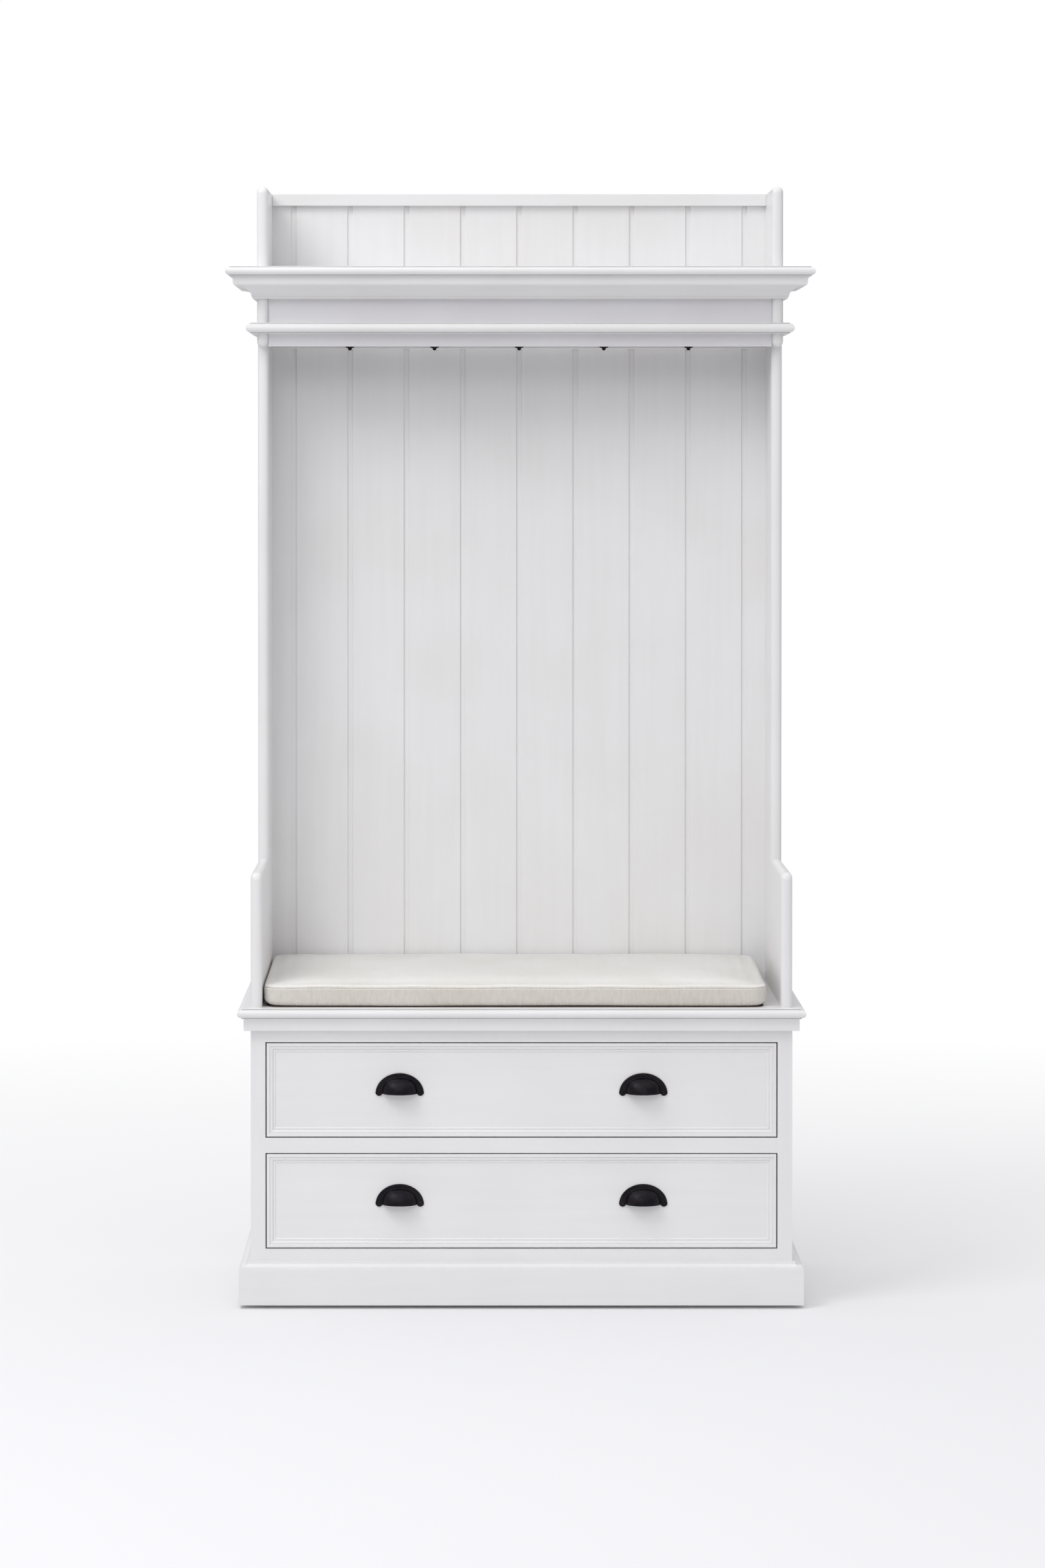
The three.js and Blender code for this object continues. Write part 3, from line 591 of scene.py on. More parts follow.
# ---- Mouldings ----
def nose(bottom, height, out, fillet=NOSE_FILLET):
    """A half-round between two fillets, each parted from it by a narrow quirk, as
    (distance out, height) points."""
    radius = height / 2 - fillet
    shoulder = out - radius
    ease = 0.4
    curve = arc((shoulder, bottom + height / 2), (radius, radius), -90, 90, 24)
    below = arc((shoulder - ease, bottom + ease), (ease, ease), -90, 0, 3)
    above = arc((shoulder - ease, bottom + height - ease), (ease, ease), 0, 90, 3)
    lower_quirk = [(shoulder, bottom + fillet - 0.9), (shoulder - QUIRK, bottom + fillet - 0.5)]
    upper_quirk = [(out, 2 * bottom + height - z) for out, z in reversed(lower_quirk)]
    profile = [*below, *lower_quirk, *curve, *upper_quirk, *above]
    return [(0, bottom), *profile, (0, bottom + height)]


def mitred(section, half_width, front, rear):
    """The points of a section at the ends and front corners of a run round three sides."""
    corners = [(-1, rear, 0), (-1, front, 1), (1, front, 1), (1, rear, 0)]
    return [
        (side * (half_width + out) * MM, (y - out * forward) * MM, z * MM)
        for side, y, forward in corners
        for out, z in section
    ]


def wrapped_run(section, half_width, front, rear):
    """A moulding carried round the front and both sides, mitred at the corners."""
    size = len(section)
    ends = [tuple(range(size)), tuple(range(3 * size, 4 * size))]
    return polygon_mesh(mitred(section, half_width, front, rear), bands(4, size) + ends)


def add_mouldings():
    """The mouldings that run round the front and sides, and the strips behind two of them."""
    cabinet = box_mm("cabinet_side_left")
    half, front, rear = -cabinet[0][0], cabinet[0][1], cabinet[1][1]
    upper_front = box_mm("hat_shelf")[0][1]

    def heights(node):
        low, high = box_mm(node)
        return low[2], high[2] - low[2], high[0] - half

    def run(node, section, face):
        painted(node, "run", smooth(wrapped_run(section, half, face, rear)))

    run("cornice_cap", nose(*heights("cornice_cap")), upper_front)
    run("lower_moulding", nose(*heights("lower_moulding")), upper_front)

    # Crown, from the bottom: a fillet, a deep cove, and an ovolo under a flat band.
    foot, tall, out = heights("crown_moulding")
    fillet, fillet_out, cove_out = 3.5, 7.75, 36.0
    cove_foot, cove_top, band_foot = foot + fillet, foot + 22, foot + 30
    cove_size = (cove_out - fillet_out - 1.75, cove_top - cove_foot)
    ovolo_size = (out - cove_out, band_foot - cove_top)
    crown = [(0, foot), (fillet_out - 0.5, foot), (fillet_out, foot + 0.5), (fillet_out, cove_foot)]
    crown += arc((cove_out, cove_foot), cove_size, 180, 90, 24)
    crown += arc((cove_out, band_foot), ovolo_size, -90, 0, 12)[1:]
    crown += [(out, foot + tall), (0, foot + tall)]
    run("crown_moulding", crown, upper_front)

    foot, tall, out = heights("bench_fascia")
    ease = 0.8
    edge = arc((out - ease, foot + ease), (ease, ease), -90, 0, 4)
    run("bench_fascia", [(0, foot), *edge, (out, foot + tall), (0, foot + tall)], front)

    foot, tall, out = heights("plinth_cap_moulding")
    lip, neck = 2.0, 6.0
    cove = arc((out, foot + tall - lip), (out - neck, tall - 2 * lip), -90, -180, 12)
    cap = [(0, foot), (out, foot), *cove, (neck, foot + tall), (0, foot + tall)]
    run("plinth_cap_moulding", cap, front)

    # The strips behind the front runs, which reach the frieze board between the side boards.
    frieze = box_mm("frieze_board")
    gap = 0.3
    for node in ("crown_moulding", "lower_moulding"):
        foot, tall, _ = heights(node)
        low = [frieze[0][0] + gap, upper_front, foot]
        high = [frieze[1][0] - gap, frieze[0][1], foot + tall]
        mesh = eased_box(low, high, 0.2)
        finished(node + "_backing", mesh, PAINT_LEVEL, "white_paint", "cabinet")


def add_bench_top():
    """The bench top: one slab, moulded on its front and both ends."""
    cabinet_low = box_mm("cabinet_side_left")[0]
    half = -cabinet_low[0]
    low, high = box_mm("bench_top")
    edge = nose(low[2], high[2] - low[2], high[0] - half)[1:-1]
    size = len(edge)
    faces = bands(4, size, closed=False)
    faces += [tuple(ring * size + i for ring in range(4)) for i in (0, size - 1)]
    faces += [(*range(size), *reversed(range(3 * size, 4 * size)))]
    mesh = smooth(polygon_mesh(mitred(edge, half, cabinet_low[1], high[1]), faces))
    painted("bench_top", "moulded", mesh)


# ---- Drawers ----
def panelled_front(low, high):
    """A drawer front with a sunk field inside a flat border, an ovolo and a bead: rectangles at
    (inset, depth) in millimetres, joined by mitred faces."""
    edge = [(0.0, high[1] - low[1]), (0.0, 1.0), (0.3, 0.3), (1.0, 0.0)]
    border = [(4.4, 0.0), (5.2, 0.25), (5.7, 0.8), (5.9, 1.5), (6.1, 2.0)]
    ovolo = [(6.5, 1.6), (7.5, 1.35), (9.0, 1.6), (10.5, 2.3), (11.6, 3.2), (12.0, 4.0)]
    bead = [(12.2, 4.4), (12.6, 3.9), (13.4, 3.5), (14.4, 3.5), (15.4, 3.9), (16.1, 4.6)]
    rings = [*edge, *border, *ovolo, *bead, (16.5, 5.0)]
    vertices = []
    for inset, depth in rings:
        left, right = low[0] + inset, high[0] - inset
        foot, top = low[2] + inset, high[2] - inset
        for x, z in ((left, foot), (right, foot), (right, top), (left, top)):
            vertices.append((x * MM, (low[1] + depth) * MM, z * MM))
    field = tuple(range(len(vertices) - 4, len(vertices)))
    return smooth(polygon_mesh(vertices, [(0, 1, 2, 3), *bands(len(rings), 4), field]), 28)


def add_drawers():
    """The two drawers: a moulded front on a plain hardwood box."""
    box_parts = {"side_left": WOOD_DEEP, "side_right": WOOD_DEEP}
    box_parts |= {"back": WOOD_LEVEL, "bottom": WOOD_LEVEL}
    for body in ("upper_drawer", "lower_drawer"):
        node = f"{body}_front"
        painted(node, "panelled", panelled_front(*box_mm(node)), PAINT_LEVEL, body)
        for part, finish in box_parts.items():
            node = f"{body}_{part}"
            mesh = eased_box(*box_mm(node), EASE)
            finished(node + "_eased", mesh, finish, "bare_wood", body, node)


# ---- Castings ----
def joined(shapes, cuts=()):
    """Joins closed shapes, then cuts others away."""
    base = scratch(shapes[0])
    others = [(scratch(shape), "UNION") for shape in shapes[1:]]
    others += [(scratch(shape), "DIFFERENCE") for shape in cuts]
    for obj, operation in others:
        modifier = base.modifiers.new("join", "BOOLEAN")
        modifier.object = obj
        modifier.operation = operation
        modifier.solver = "EXACT"
    result = evaluated_mesh(base)
    drop(base, *[obj for obj, _ in others])
    return result


def cast(shapes, cuts=(), rounds=4):
    """Joins and cuts shapes into one casting with softly blended edges."""
    voxels = {"mode": "VOXEL", "voxel_size": CAST_VOXEL * MM, "use_smooth_shade": True}
    mesh = with_modifiers(
        joined(shapes, cuts),
        ("REMESH", voxels),
        ("SMOOTH", {"factor": 0.5, "iterations": rounds}),
        ("DECIMATE", {"ratio": 0.35}),
    )
    mesh.shade_smooth()
    return mesh


def egg(radii, segments=96, rings=48, fullness=2.0):
    """An ellipsoid; a fullness above 2 squares its shoulders across X and Z."""
    bm = bmesh.new()
    bmesh.ops.create_uvsphere(bm, u_segments=segments, v_segments=rings, radius=1.0)
    for v in bm.verts:
        flat = math.hypot(v.co.x, v.co.z)
        power = (abs(v.co.x) ** fullness + abs(v.co.z) ** fullness) ** (1 / fullness)
        swell = flat / power if power > 1e-6 else 1.0
        v.co = Vector([v.co[i] * radii[i] * MM * (1.0 if i == 1 else swell) for i in range(3)])
    return mesh_of(bm)


def plate(points, front, rear):
    """A slab over an (x, z) outline in millimetres, from front to rear along Y."""
    size = len(points)
    vertices = [(x * MM, y * MM, z * MM) for y in (front, rear) for x, z in points]
    faces = [tuple(range(size)), tuple(range(size, 2 * size)), *bands(2, size)]
    return polygon_mesh(vertices, faces)


def block(left, right, foot, top, front, rear):
    """A plain block, to cut with."""
    return plate([(left, foot), (right, foot), (right, top), (left, top)], front, rear)


def bar(points, radii, sides=20):
    """A round bar through (x, y, z) points in millimetres, whose radius follows along it."""
    path = [Vector(p) * MM for p in points]
    vertices = []
    for i, point in enumerate(path):
        ahead = (path[min(i + 1, len(path) - 1)] - path[max(i - 1, 0)]).normalized()
        u = (u - ahead * u.dot(ahead)).normalized() if i else ahead.orthogonal().normalized()
        v = ahead.cross(u)
        radius = radii[i] * MM
        for k in range(sides):
            turn = 2 * math.pi * k / sides
            vertices.append(point + (u * math.cos(turn) + v * math.sin(turn)) * radius)
    ends = [tuple(range(sides)), tuple(range(len(vertices) - sides, len(vertices)))]
    return polygon_mesh(vertices, bands(len(path), sides) + ends)


def shifted(mesh, place):
    mesh = mesh.copy()
    mesh.transform(Matrix.Translation(Vector(place) * MM))
    return mesh


def cup_pull():
    """A cup pull with its origin on the drawer front, at the middle of the lip."""
    low, high = box_mm("upper_pull_left")
    half = (high[0] - low[0]) / 2
    tall = high[2] - low[2] + LUG_LIFT - LUG_RADIUS
    reach = high[1] - low[1]
    room = 2 * half  # enough to cut the whole casting
    inner = CUP_WIDTH / 2 - CUP_WALL, reach - CUP_WALL, CUP_HEIGHT - CUP_WALL
    dome = egg((CUP_WIDTH / 2, reach - 0.4, CUP_HEIGHT), fullness=CUP_FULLNESS)
    hollow = egg(inner, fullness=CUP_FULLNESS)
    rim = plate(arc((0, 0), (half, tall), 0, 352.5, 47), -RIM_THICKNESS, 0.5)
    below = block(-room, room, -room, 0, -room, room)
    behind = block(-room, room, -room, room, 0, room)
    lugs = []
    for x in (LUG_RADIUS - half, half - LUG_RADIUS):
        outline = arc((x, LUG_LIFT), (LUG_RADIUS, LUG_RADIUS), 0, 345, 23)
        lugs.append(plate(outline, -RIM_THICKNESS, 0))
    # The lip is rolled: a bead follows its edge.
    r = CUP_LIP_RADIUS
    plan = arc((0, 0), (CUP_WIDTH / 2 - r, reach - r - 0.3), 180, 360, 32)
    lip = bar([(x, y, r) for x, y in plan], [r] * len(plan))
    cup = joined([dome, rim], [below, hollow, behind])
    return cast([cup, lip, *lugs], [behind], rounds=5)


def coat_hook():
    """A hat and coat hook with its origin on the wall, at the plate's lowest point."""
    low, high = box_mm("coat_hook_1")
    half = (high[0] - low[0]) / 2
    tall_plate = HOOK_PLATE_RATIO * (high[0] - low[0])
    reach = high[1] - low[1] - HOOK_BALL
    tall = high[2] - low[2] - HOOK_BALL
    tip = 3.0
    side = [(tip + 0.5, tip * 1.45), (half * 0.66, tip * 1.9)]
    side += [(half * 0.9, tall_plate * 0.25), (half, tall_plate * 0.45)]
    outline = arc((0, tip), (tip + 0.6, tip), 200, 340, 10) + side
    outline += arc((0, tall_plate - half), (half, half), 0, 180, 28)
    outline += [(-x, z) for x, z in reversed(side)]
    back = plate(outline, -HOOK_PLATE, 0.0)
    boss = egg((half * 0.62, 5.0, tall_plate * 0.3), 32, 16)
    boss = shifted(boss, (0, -2, tall_plate * 0.53))

    def arm(stations, thick):
        curve = catmull([(0, -out, z) for out, z in stations], 10)
        last = len(curve) - 1
        return bar(curve, [HOOK_ROD * (thick + (0.82 - thick) * i / last) for i in range(last + 1)])

    def share(*stations):
        return [(out, tall_plate * z) for out, z in stations]

    end = reach * 0.58
    bend = (0, 0.43), (end * 0.32, 0.245), (end * 0.7, 0.17), (end * 0.97, 0.27), (end, 0.4)
    coat = share(*bend)
    bend = (0, 0.66), (reach * 0.35, 0.62), (reach * 0.75, 0.74), (reach * 0.96, 0.94)
    hat = [*share(*bend), (reach, tall)]
    knob = shifted(egg((HOOK_BALL - 1,) * 3, 32, 16), (0, -end, coat[-1][1]))
    ball = shifted(egg((HOOK_BALL,) * 3, 32, 16), (0, -reach, tall))
    room = 4 * half
    behind = block(-room, room, -room, 4 * room, 0, room)
    return cast([back, boss, arm(coat, 1.35), arm(hat, 1.5), knob, ball], [behind], rounds=5)


def catmull(points, steps):
    """A smooth curve through points, with a number of steps between each two."""
    ends = [points[0], *points, points[-1]]
    curve = []
    for i in range(1, len(ends) - 2):
        p0, p1, p2, p3 = (Vector(p) for p in ends[i - 1 : i + 3])
        square = 2 * p0 - 5 * p1 + 4 * p2 - p3
        cube = 3 * p1 - p0 - 3 * p2 + p3
        for k in range(steps):
            t = k / steps
            curve.append(0.5 * (2 * p1 + (p2 - p0) * t + square * t**2 + cube * t**3))
    return curve + [Vector(points[-1])]


def add_castings():
    """Places the cup pulls and coat hooks, and lists where their screws go, by body."""
    screws = {"cabinet": [], "upper_drawer": [], "lower_drawer": []}
    pull = cup_pull()
    for body in ("upper_drawer", "lower_drawer"):
        for side in ("left", "right"):
            node = body.replace("drawer", "pull_") + side
            low, high = box_mm(node)
            middle = (low[0] + high[0]) / 2
            lip = low[2] - (LUG_LIFT - LUG_RADIUS)
            mesh = shifted(pull, (middle, high[1], lip))
            finished(node + "_cast", mesh, PULL_BRONZE, "pull_bronze", body, node)
            offset = (high[0] - low[0]) / 2 - LUG_RADIUS
            face = high[1] - RIM_THICKNESS
            screws[body] += [(x, face, lip + LUG_LIFT) for x in (middle - offset, middle + offset)]
            screws[body].append((middle, face, high[2] - RIM_SCREW))
    hook = coat_hook()
    for node in row_of("coat_hook_"):
        low, high = box_mm(node)
        middle = (low[0] + high[0]) / 2
        mesh = shifted(hook, (middle, high[1], low[2]))
        finished(node + "_cast", mesh, HOOK_IRON, "hook_iron", "cabinet", node)
        tall_plate = HOOK_PLATE_RATIO * (high[0] - low[0])
        for share in (0.13, 0.88):
            place = (middle, high[1] - HOOK_PLATE, low[2] + tall_plate * share)
            screws["cabinet"].append(place)
    return screws


# ---- Screws, by Geometry Nodes ----
def screw_head(turned=0.0):
    """A slotted round head that faces the front, or is turned in plan by some degrees, with its
    origin on the face that it is driven into."""
    profile = arc((0, 0), (SCREW_HEAD_RADIUS, SCREW_HEAD_HEIGHT), 0, 90, 6)
    sides, sunk = 20, 0.2
    vertices = [(0.0, sunk * MM, 0.0)]
    rings = [(SCREW_HEAD_RADIUS, -sunk), *profile[:-1]]
    for radius, height in rings:
        for k in range(sides):
            turn = 2 * math.pi * k / sides
            place = (radius * math.cos(turn), -height, radius * math.sin(turn))
            vertices.append(tuple(v * MM for v in place))
    vertices.append((0.0, -SCREW_HEAD_HEIGHT * MM, 0.0))
    faces = [(0, 1 + k, 1 + (k + 1) % sides) for k in range(sides)]
    faces += bands(len(rings), sides, first=1)
    last = 1 + (len(rings) - 1) * sides
    faces += [(last + k, last + (k + 1) % sides, len(vertices) - 1) for k in range(sides)]
    half, reach = SCREW_SLOT_WIDTH / 2, SCREW_HEAD_RADIUS + 1
    slot_foot = -SCREW_HEAD_HEIGHT * 0.4
    slot = block(-half, half, -reach, reach, -SCREW_HEAD_HEIGHT - 1, slot_foot)
    head = joined([polygon_mesh(vertices, faces)], [slot])
    head.transform(Matrix.Rotation(math.radians(turned), 4, "Z"))
    return head


def scatter_tree():
    """Puts one copy of a shape on each point, turned about Y by a seeded amount."""
    inputs = {"Shape": ("Object", None), "Turn": ("Float", 1.5), "Seed": ("Int", 7)}
    inputs["Finish"] = ("Material", None)
    tree, given, keys = new_tree("driven_screws", "Points", "Screws", **inputs)
    shape = add_node(tree, "GeometryNodeObjectInfo", {"Object": given["Shape"]})
    seeded = {3: given["Turn"], "Seed": given["Seed"]}
    turn = add_node(tree, "FunctionNodeRandomValue", seeded, data_type="FLOAT")
    spin = add_node(tree, "ShaderNodeCombineXYZ", {"Y": turn.outputs[1]})
    copies = {"Points": given["Points"], "Instance": shape.outputs["Geometry"], "Rotation": spin}
    end_tree(tree, add_node(tree, "GeometryNodeInstanceOnPoints", copies), given["Finish"])
    return tree, keys


def rear_screws():
    """Screws that hold the back boards and the cabinet's back, as places on their rear faces."""
    places = []
    seat, *rails = [box_mm(node) for node in ("bench_top", "hook_rail", "back_top_rail")]
    above_seat, inset = 14, 22
    levels = [seat[1][2] + above_seat, *[(low[2] + high[2]) / 2 for low, high in rails]]
    for node in row_of("back_board_"):
        low, high = box_mm(node)
        for x in (low[0] + inset, high[0] - inset):
            places += [(x, high[1], z) for z in levels]
    low, high = box_mm("cabinet_back")
    count, end, edge, side = 7, 18, 12, 10
    for k in range(count):
        x = low[0] + end + (high[0] - low[0] - 2 * end) * k / (count - 1)
        places += [(x, high[1], z) for z in (low[2] + edge, high[2] - edge)]
    for k in range(1, 4):
        z = low[2] + (high[2] - low[2]) * k / 4
        places += [(x, high[1], z) for x in (low[0] + side, high[0] - side)]
    return places


def add_screws(places):
    """The screws of the pulls and hooks, given by body, and those in the back."""
    tree, keys = scatter_tree()
    front, rear = scratch(screw_head(), "screw_head"), scratch(screw_head(180), "rear_screw_head")
    batches = [(f"{body}_screws", body, points, front) for body, points in places.items()]
    batches.append(("rear_screws", "cabinet", rear_screws(), rear))
    for seed, (name, body, points, shape) in enumerate(batches):
        mesh = bpy.data.meshes.new("points")
        mesh.from_pydata([Vector(p) * MM for p in points], [], [])
        finish = STEEL if shape is rear else SCREW_BRONZE
        values = {"Shape": shape, "Turn": 3.1, "Seed": seed, "Finish": finish}
        made = grown(mesh, tree, keys, values)
        made.shade_smooth()
        made.set_sharp_from_angle(angle=math.radians(40))
        slot = "hook_iron" if body == "cabinet" else "pull_bronze"
        finished(name, made, finish, slot, body)
    drop(front, rear)


# ---- Cushion ----
def cushion_panel(low, high, z):
    """A grid of points over a panel with rounded plan corners, and the loop of its border."""
    corner = CUSHION_CORNER - CUSHION_EDGE
    half = [(high[i] - low[i]) / 2 - CUSHION_EDGE for i in (0, 1)]
    middle = [(high[i] + low[i]) / 2 for i in (0, 1)]
    m, n = [round(2 * h / CUSHION_GRID) for h in half]
    points = np.zeros((m + 1, n + 1, 3))
    for i in range(m + 1):
        for j in range(n + 1):
            place = [half[0] * (2 * i / m - 1), half[1] * (2 * j / n - 1)]
            past = [(abs(place[k]) - half[k] + corner) / corner for k in (0, 1)]
            if min(past) > 0:
                for k in (0, 1):
                    turned = corner * past[k] * math.sqrt(1 - past[1 - k] ** 2 / 2)
                    place[k] = math.copysign(half[k] - corner + turned, place[k])
            points[i, j] = (middle[0] + place[0], middle[1] + place[1], z)
    border = [(i, 0) for i in range(m)] + [(m, j) for j in range(n)]
    border += [(i, n) for i in range(m, 0, -1)] + [(0, j) for j in range(n, 0, -1)]
    return points, border


def outward(loop):
    """The outward direction in plan at each point of a closed loop."""
    tangent = np.roll(loop, -1, axis=0) - np.roll(loop, 1, axis=0)
    normal = np.stack([tangent[:, 1], -tangent[:, 0], np.zeros(len(loop))], axis=1)
    return normal / np.linalg.norm(normal, axis=1)[:, None]


def cushion_mesh(top, bottom, rows, border):
    """One closed cover from its two panels and the rows of points between their borders."""
    m, n = top.shape[:2]
    vertices = [*top.reshape(-1, 3), *bottom.reshape(-1, 3)]
    faces = []
    for i in range(m - 1):
        for j in range(n - 1):
            a = i * n + j
            faces.append((a, a + n, a + n + 1, a + 1))
            faces.append(tuple(m * n + k for k in (a, a + 1, a + n + 1, a + n)))
    loops = [[i * n + j for i, j in border]]
    for row in rows:
        loops.append(list(range(len(vertices), len(vertices) + len(row))))
        vertices += list(row)
    loops.append([m * n + i * n + j for i, j in border])
    for upper, lower in zip(loops, loops[1:]):
        after = [*range(1, len(border)), 0]
        faces += [(upper[k], lower[k], lower[a], upper[a]) for k, a in enumerate(after)]
    mesh = bpy.data.meshes.new("cover")
    mesh.from_pydata([tuple(v * MM) for v in np.array(vertices)], [], faces)
    mesh.update()
    return mesh


def blown_up(mesh, caps):
    """Fills the cover under pressure with Blender's cloth; each point keeps within its own cap."""
    obj = scratch(mesh, "cover")
    cloth = obj.modifiers.new("Cloth", "CLOTH")
    cloth.settings.effector_weights.gravity = 0.0
    for key, value in COVER_CLOTH.items():
        setattr(cloth.settings, key, value)
    cloth.point_cache.frame_start = 1
    cloth.point_cache.frame_end = SIM_FRAMES
    for step in range(1, SIM_FRAMES + 1):
        bpy.context.scene.frame_set(step)
    filled = evaluated_mesh(obj)
    moved = np.array([v.co for v in filled.vertices]) / MM
    rest = np.array([v.co for v in mesh.vertices]) / MM
    bpy.context.scene.frame_set(1)
    drop(obj)
    step = moved - rest
    length = np.maximum(np.linalg.norm(step, axis=1), 1e-9)
    # Short steps stay as they are, and long ones near their cap smoothly.
    kept = caps * np.tanh(length / caps)
    return rest + step * (kept / length)[:, None]


def soft_noise(x, y, waves):
    """A smooth unevenness: crossed waves of (height, length in X, length in Y, start)."""
    return sum(a * np.sin(x / p + s) * np.sin(y / q + 1.7 * s) for a, p, q, s in waves)


def settled(filled, flat, low, high, floor, wall_top):
    """The filled cover as it lies: flat underneath but for its corners, and highest behind the
    middle. The points of the unfilled cover give each point's place in it."""
    u, w = [(2 * flat[:, i] - low[i] - high[i]) / (high[i] - low[i]) for i in (0, 1)]
    share = np.clip((flat[:, 2] - floor) / (wall_top - floor), 0, 1)
    lift = 2.5 + 9.5 * (w + 1) / 2
    crown = (1 - np.abs(u) ** 5) * (1 - np.abs(w) ** 4) * (3.0 + 3.0 * w)
    dents = soft_noise(flat[:, 0], flat[:, 1], CUSHION_DENTS)
    filled[:, 2] += share * (lift + crown + dents)
    slack = soft_noise(flat[:, 0] + flat[:, 2], flat[:, 1], CUSHION_SLACK)
    corner = np.clip(np.abs(u) ** 12 + np.abs(w) ** 12 - 1.0, 0, 1)
    at_edge = np.clip((np.maximum(np.abs(u) ** 20, np.abs(w) ** 20) - 0.2) / 0.8, 0, 1)
    filled[:, 2] += (1 - share) * at_edge * (0.8 + 4.0 * np.abs(u) ** 16 + 2 * corner + slack)
    over = max(filled[:, 2].max() - high[2], 0)
    above = np.clip((filled[:, 2] - wall_top) / (high[2] - wall_top), 0, 1)
    filled[:, 2] = np.clip(filled[:, 2] - share * above * over, floor, high[2])
    filled[:, 0] = np.clip(filled[:, 0], low[0] + 0.2, high[0] + 3)
    filled[:, 1] = np.clip(filled[:, 1], low[1] - 1.0, high[1] + 3)
    return filled


def sewn_rows(columns, edge):
    """Rows round the boxing, close together beside the two seams, which are drawn in and pucker.
    Returns the rows and the outward direction along them."""
    steps = np.linalg.norm(np.diff(columns, axis=0), axis=2).mean(axis=1)
    along = np.concatenate([[0], np.cumsum(steps)])
    seam = edge * math.pi / 2 * 0.5 + SEAM_BELOW
    foot = along[-1] - edge * math.pi / 2 * 0.6
    places = [(0.25 * seam, 0), (0.5 * seam, 0.1), (seam - 3.4, 0.35), (seam - 1.7, 0.45)]
    places += [(seam - 0.7, 0.0), (seam, -SEAM_DROP), (seam + 0.7, -0.1), (seam + 2.0, 0.25)]
    places += [(seam + (foot - seam) * k / 6, 0.1) for k in (1, 2, 3, 4, 5)]
    places += [(foot - 1.8, 0.3), (foot - 0.6, -0.1), (foot, -SEAM_DROP * 0.8)]
    places += [(foot + 0.6, -0.1), (foot + 1.8, 0.2), (foot + (along[-1] - foot) * 0.65, 0)]
    normal = outward(columns[len(columns) // 2])
    stretches = np.linalg.norm(np.diff(columns[4], axis=0), axis=1)
    round_edge = np.concatenate([[0], np.cumsum(stretches)])
    pucker = 1 + 0.35 * np.sin(round_edge / 2.1) + 0.3 * np.sin(round_edge / 6.7 + 1.0)
    rows = []
    for place, out in places:
        k = int(np.clip(np.searchsorted(along, place) - 1, 0, len(along) - 2))
        t = (place - along[k]) / (along[k + 1] - along[k])
        row = columns[k] * (1 - t) + columns[k + 1] * t
        rows.append(row + normal * (out * pucker)[:, None])
    return rows, normal


def add_cushion():
    """The seat cushion: two panels and a boxing strip, filled by cloth simulation, with a seam and
    a row of topstitching round its upper edge, and a thin cloth underneath whose dark brown is
    painted shade."""
    low, high = box_mm("seat_cushion")
    edge = CUSHION_EDGE
    floor, wall_top = low[2] + BASE_CLOTH, low[2] + CUSHION_WALL
    top, border = cushion_panel(low, high, wall_top)
    bottom, _ = cushion_panel(low, high, floor)
    loop = np.array([top[i, j] for i, j in border])
    normal = outward(loop)
    turns = [math.radians(90 * k / 4) for k in range(1, 5)]
    section = [(edge * math.sin(t), wall_top - edge * (1 - math.cos(t))) for t in turns]
    section += [(edge, wall_top - edge - k * (wall_top - floor - 2 * edge) / 4) for k in (1, 2, 3)]
    section += [(out, floor + wall_top - z) for out, z in reversed(section[:4])]
    rows = []
    for out, z in section:
        row = loop + normal * out
        row[:, 2] = z
        rows.append(row)
    blank = cushion_mesh(top, bottom, rows, border)

    flat = np.array([v.co for v in blank.vertices]) / MM
    to_low, to_high = flat[:, :2] - low[:2], np.array(high[:2]) - flat[:, :2]
    reach = np.minimum(to_low, to_high).min(axis=1)
    caps = EDGE_FULLNESS + CUSHION_FULLNESS * (1 - np.exp(-reach / 70.0))
    filled = blown_up(blank, caps)
    filled = settled(filled, flat, low, high, floor, wall_top)

    panel = len(top) * len(top[0])
    top, bottom = filled[: 2 * panel].reshape(2, *top.shape)
    sides = filled[2 * panel :].reshape(-1, len(border), 3)
    hems = [[[face[i, j] for i, j in border]] for face in (top, bottom)]
    rows, normal = sewn_rows(np.concatenate([hems[0], sides, hems[1]]), edge)
    cover = cushion_mesh(top, bottom, rows, border)
    cover = with_modifiers(cover, ("SUBSURF", {"levels": 1, "render_levels": 1}))
    cover.shade_smooth()
    name = "seat_cushion_cover"
    cushion = finished(name, cover, COTTON, "cushion_fabric", "cushion", "seat_cushion")
    add_topstitching(rows[2] + normal * 0.25)

    # The base cloth is set in a little from the cover's edge.
    under, _ = cushion_panel(low, high, low[2])
    upper = under + [0, 0, BASE_CLOTH + 0.6]
    edge_line = np.array([upper[i, j] for i, j in border]) + normal * 1.5
    cloth = cushion_mesh(upper, under, [edge_line - [0, 0, d] for d in (0.5, 1.2)], border)
    cloth.shade_smooth()
    # Its dark brown is painted shade, seen in the gap under the cushion's edge.
    finished("cushion_base_cloth", cloth, BASE, "cushion_fabric", "cushion")


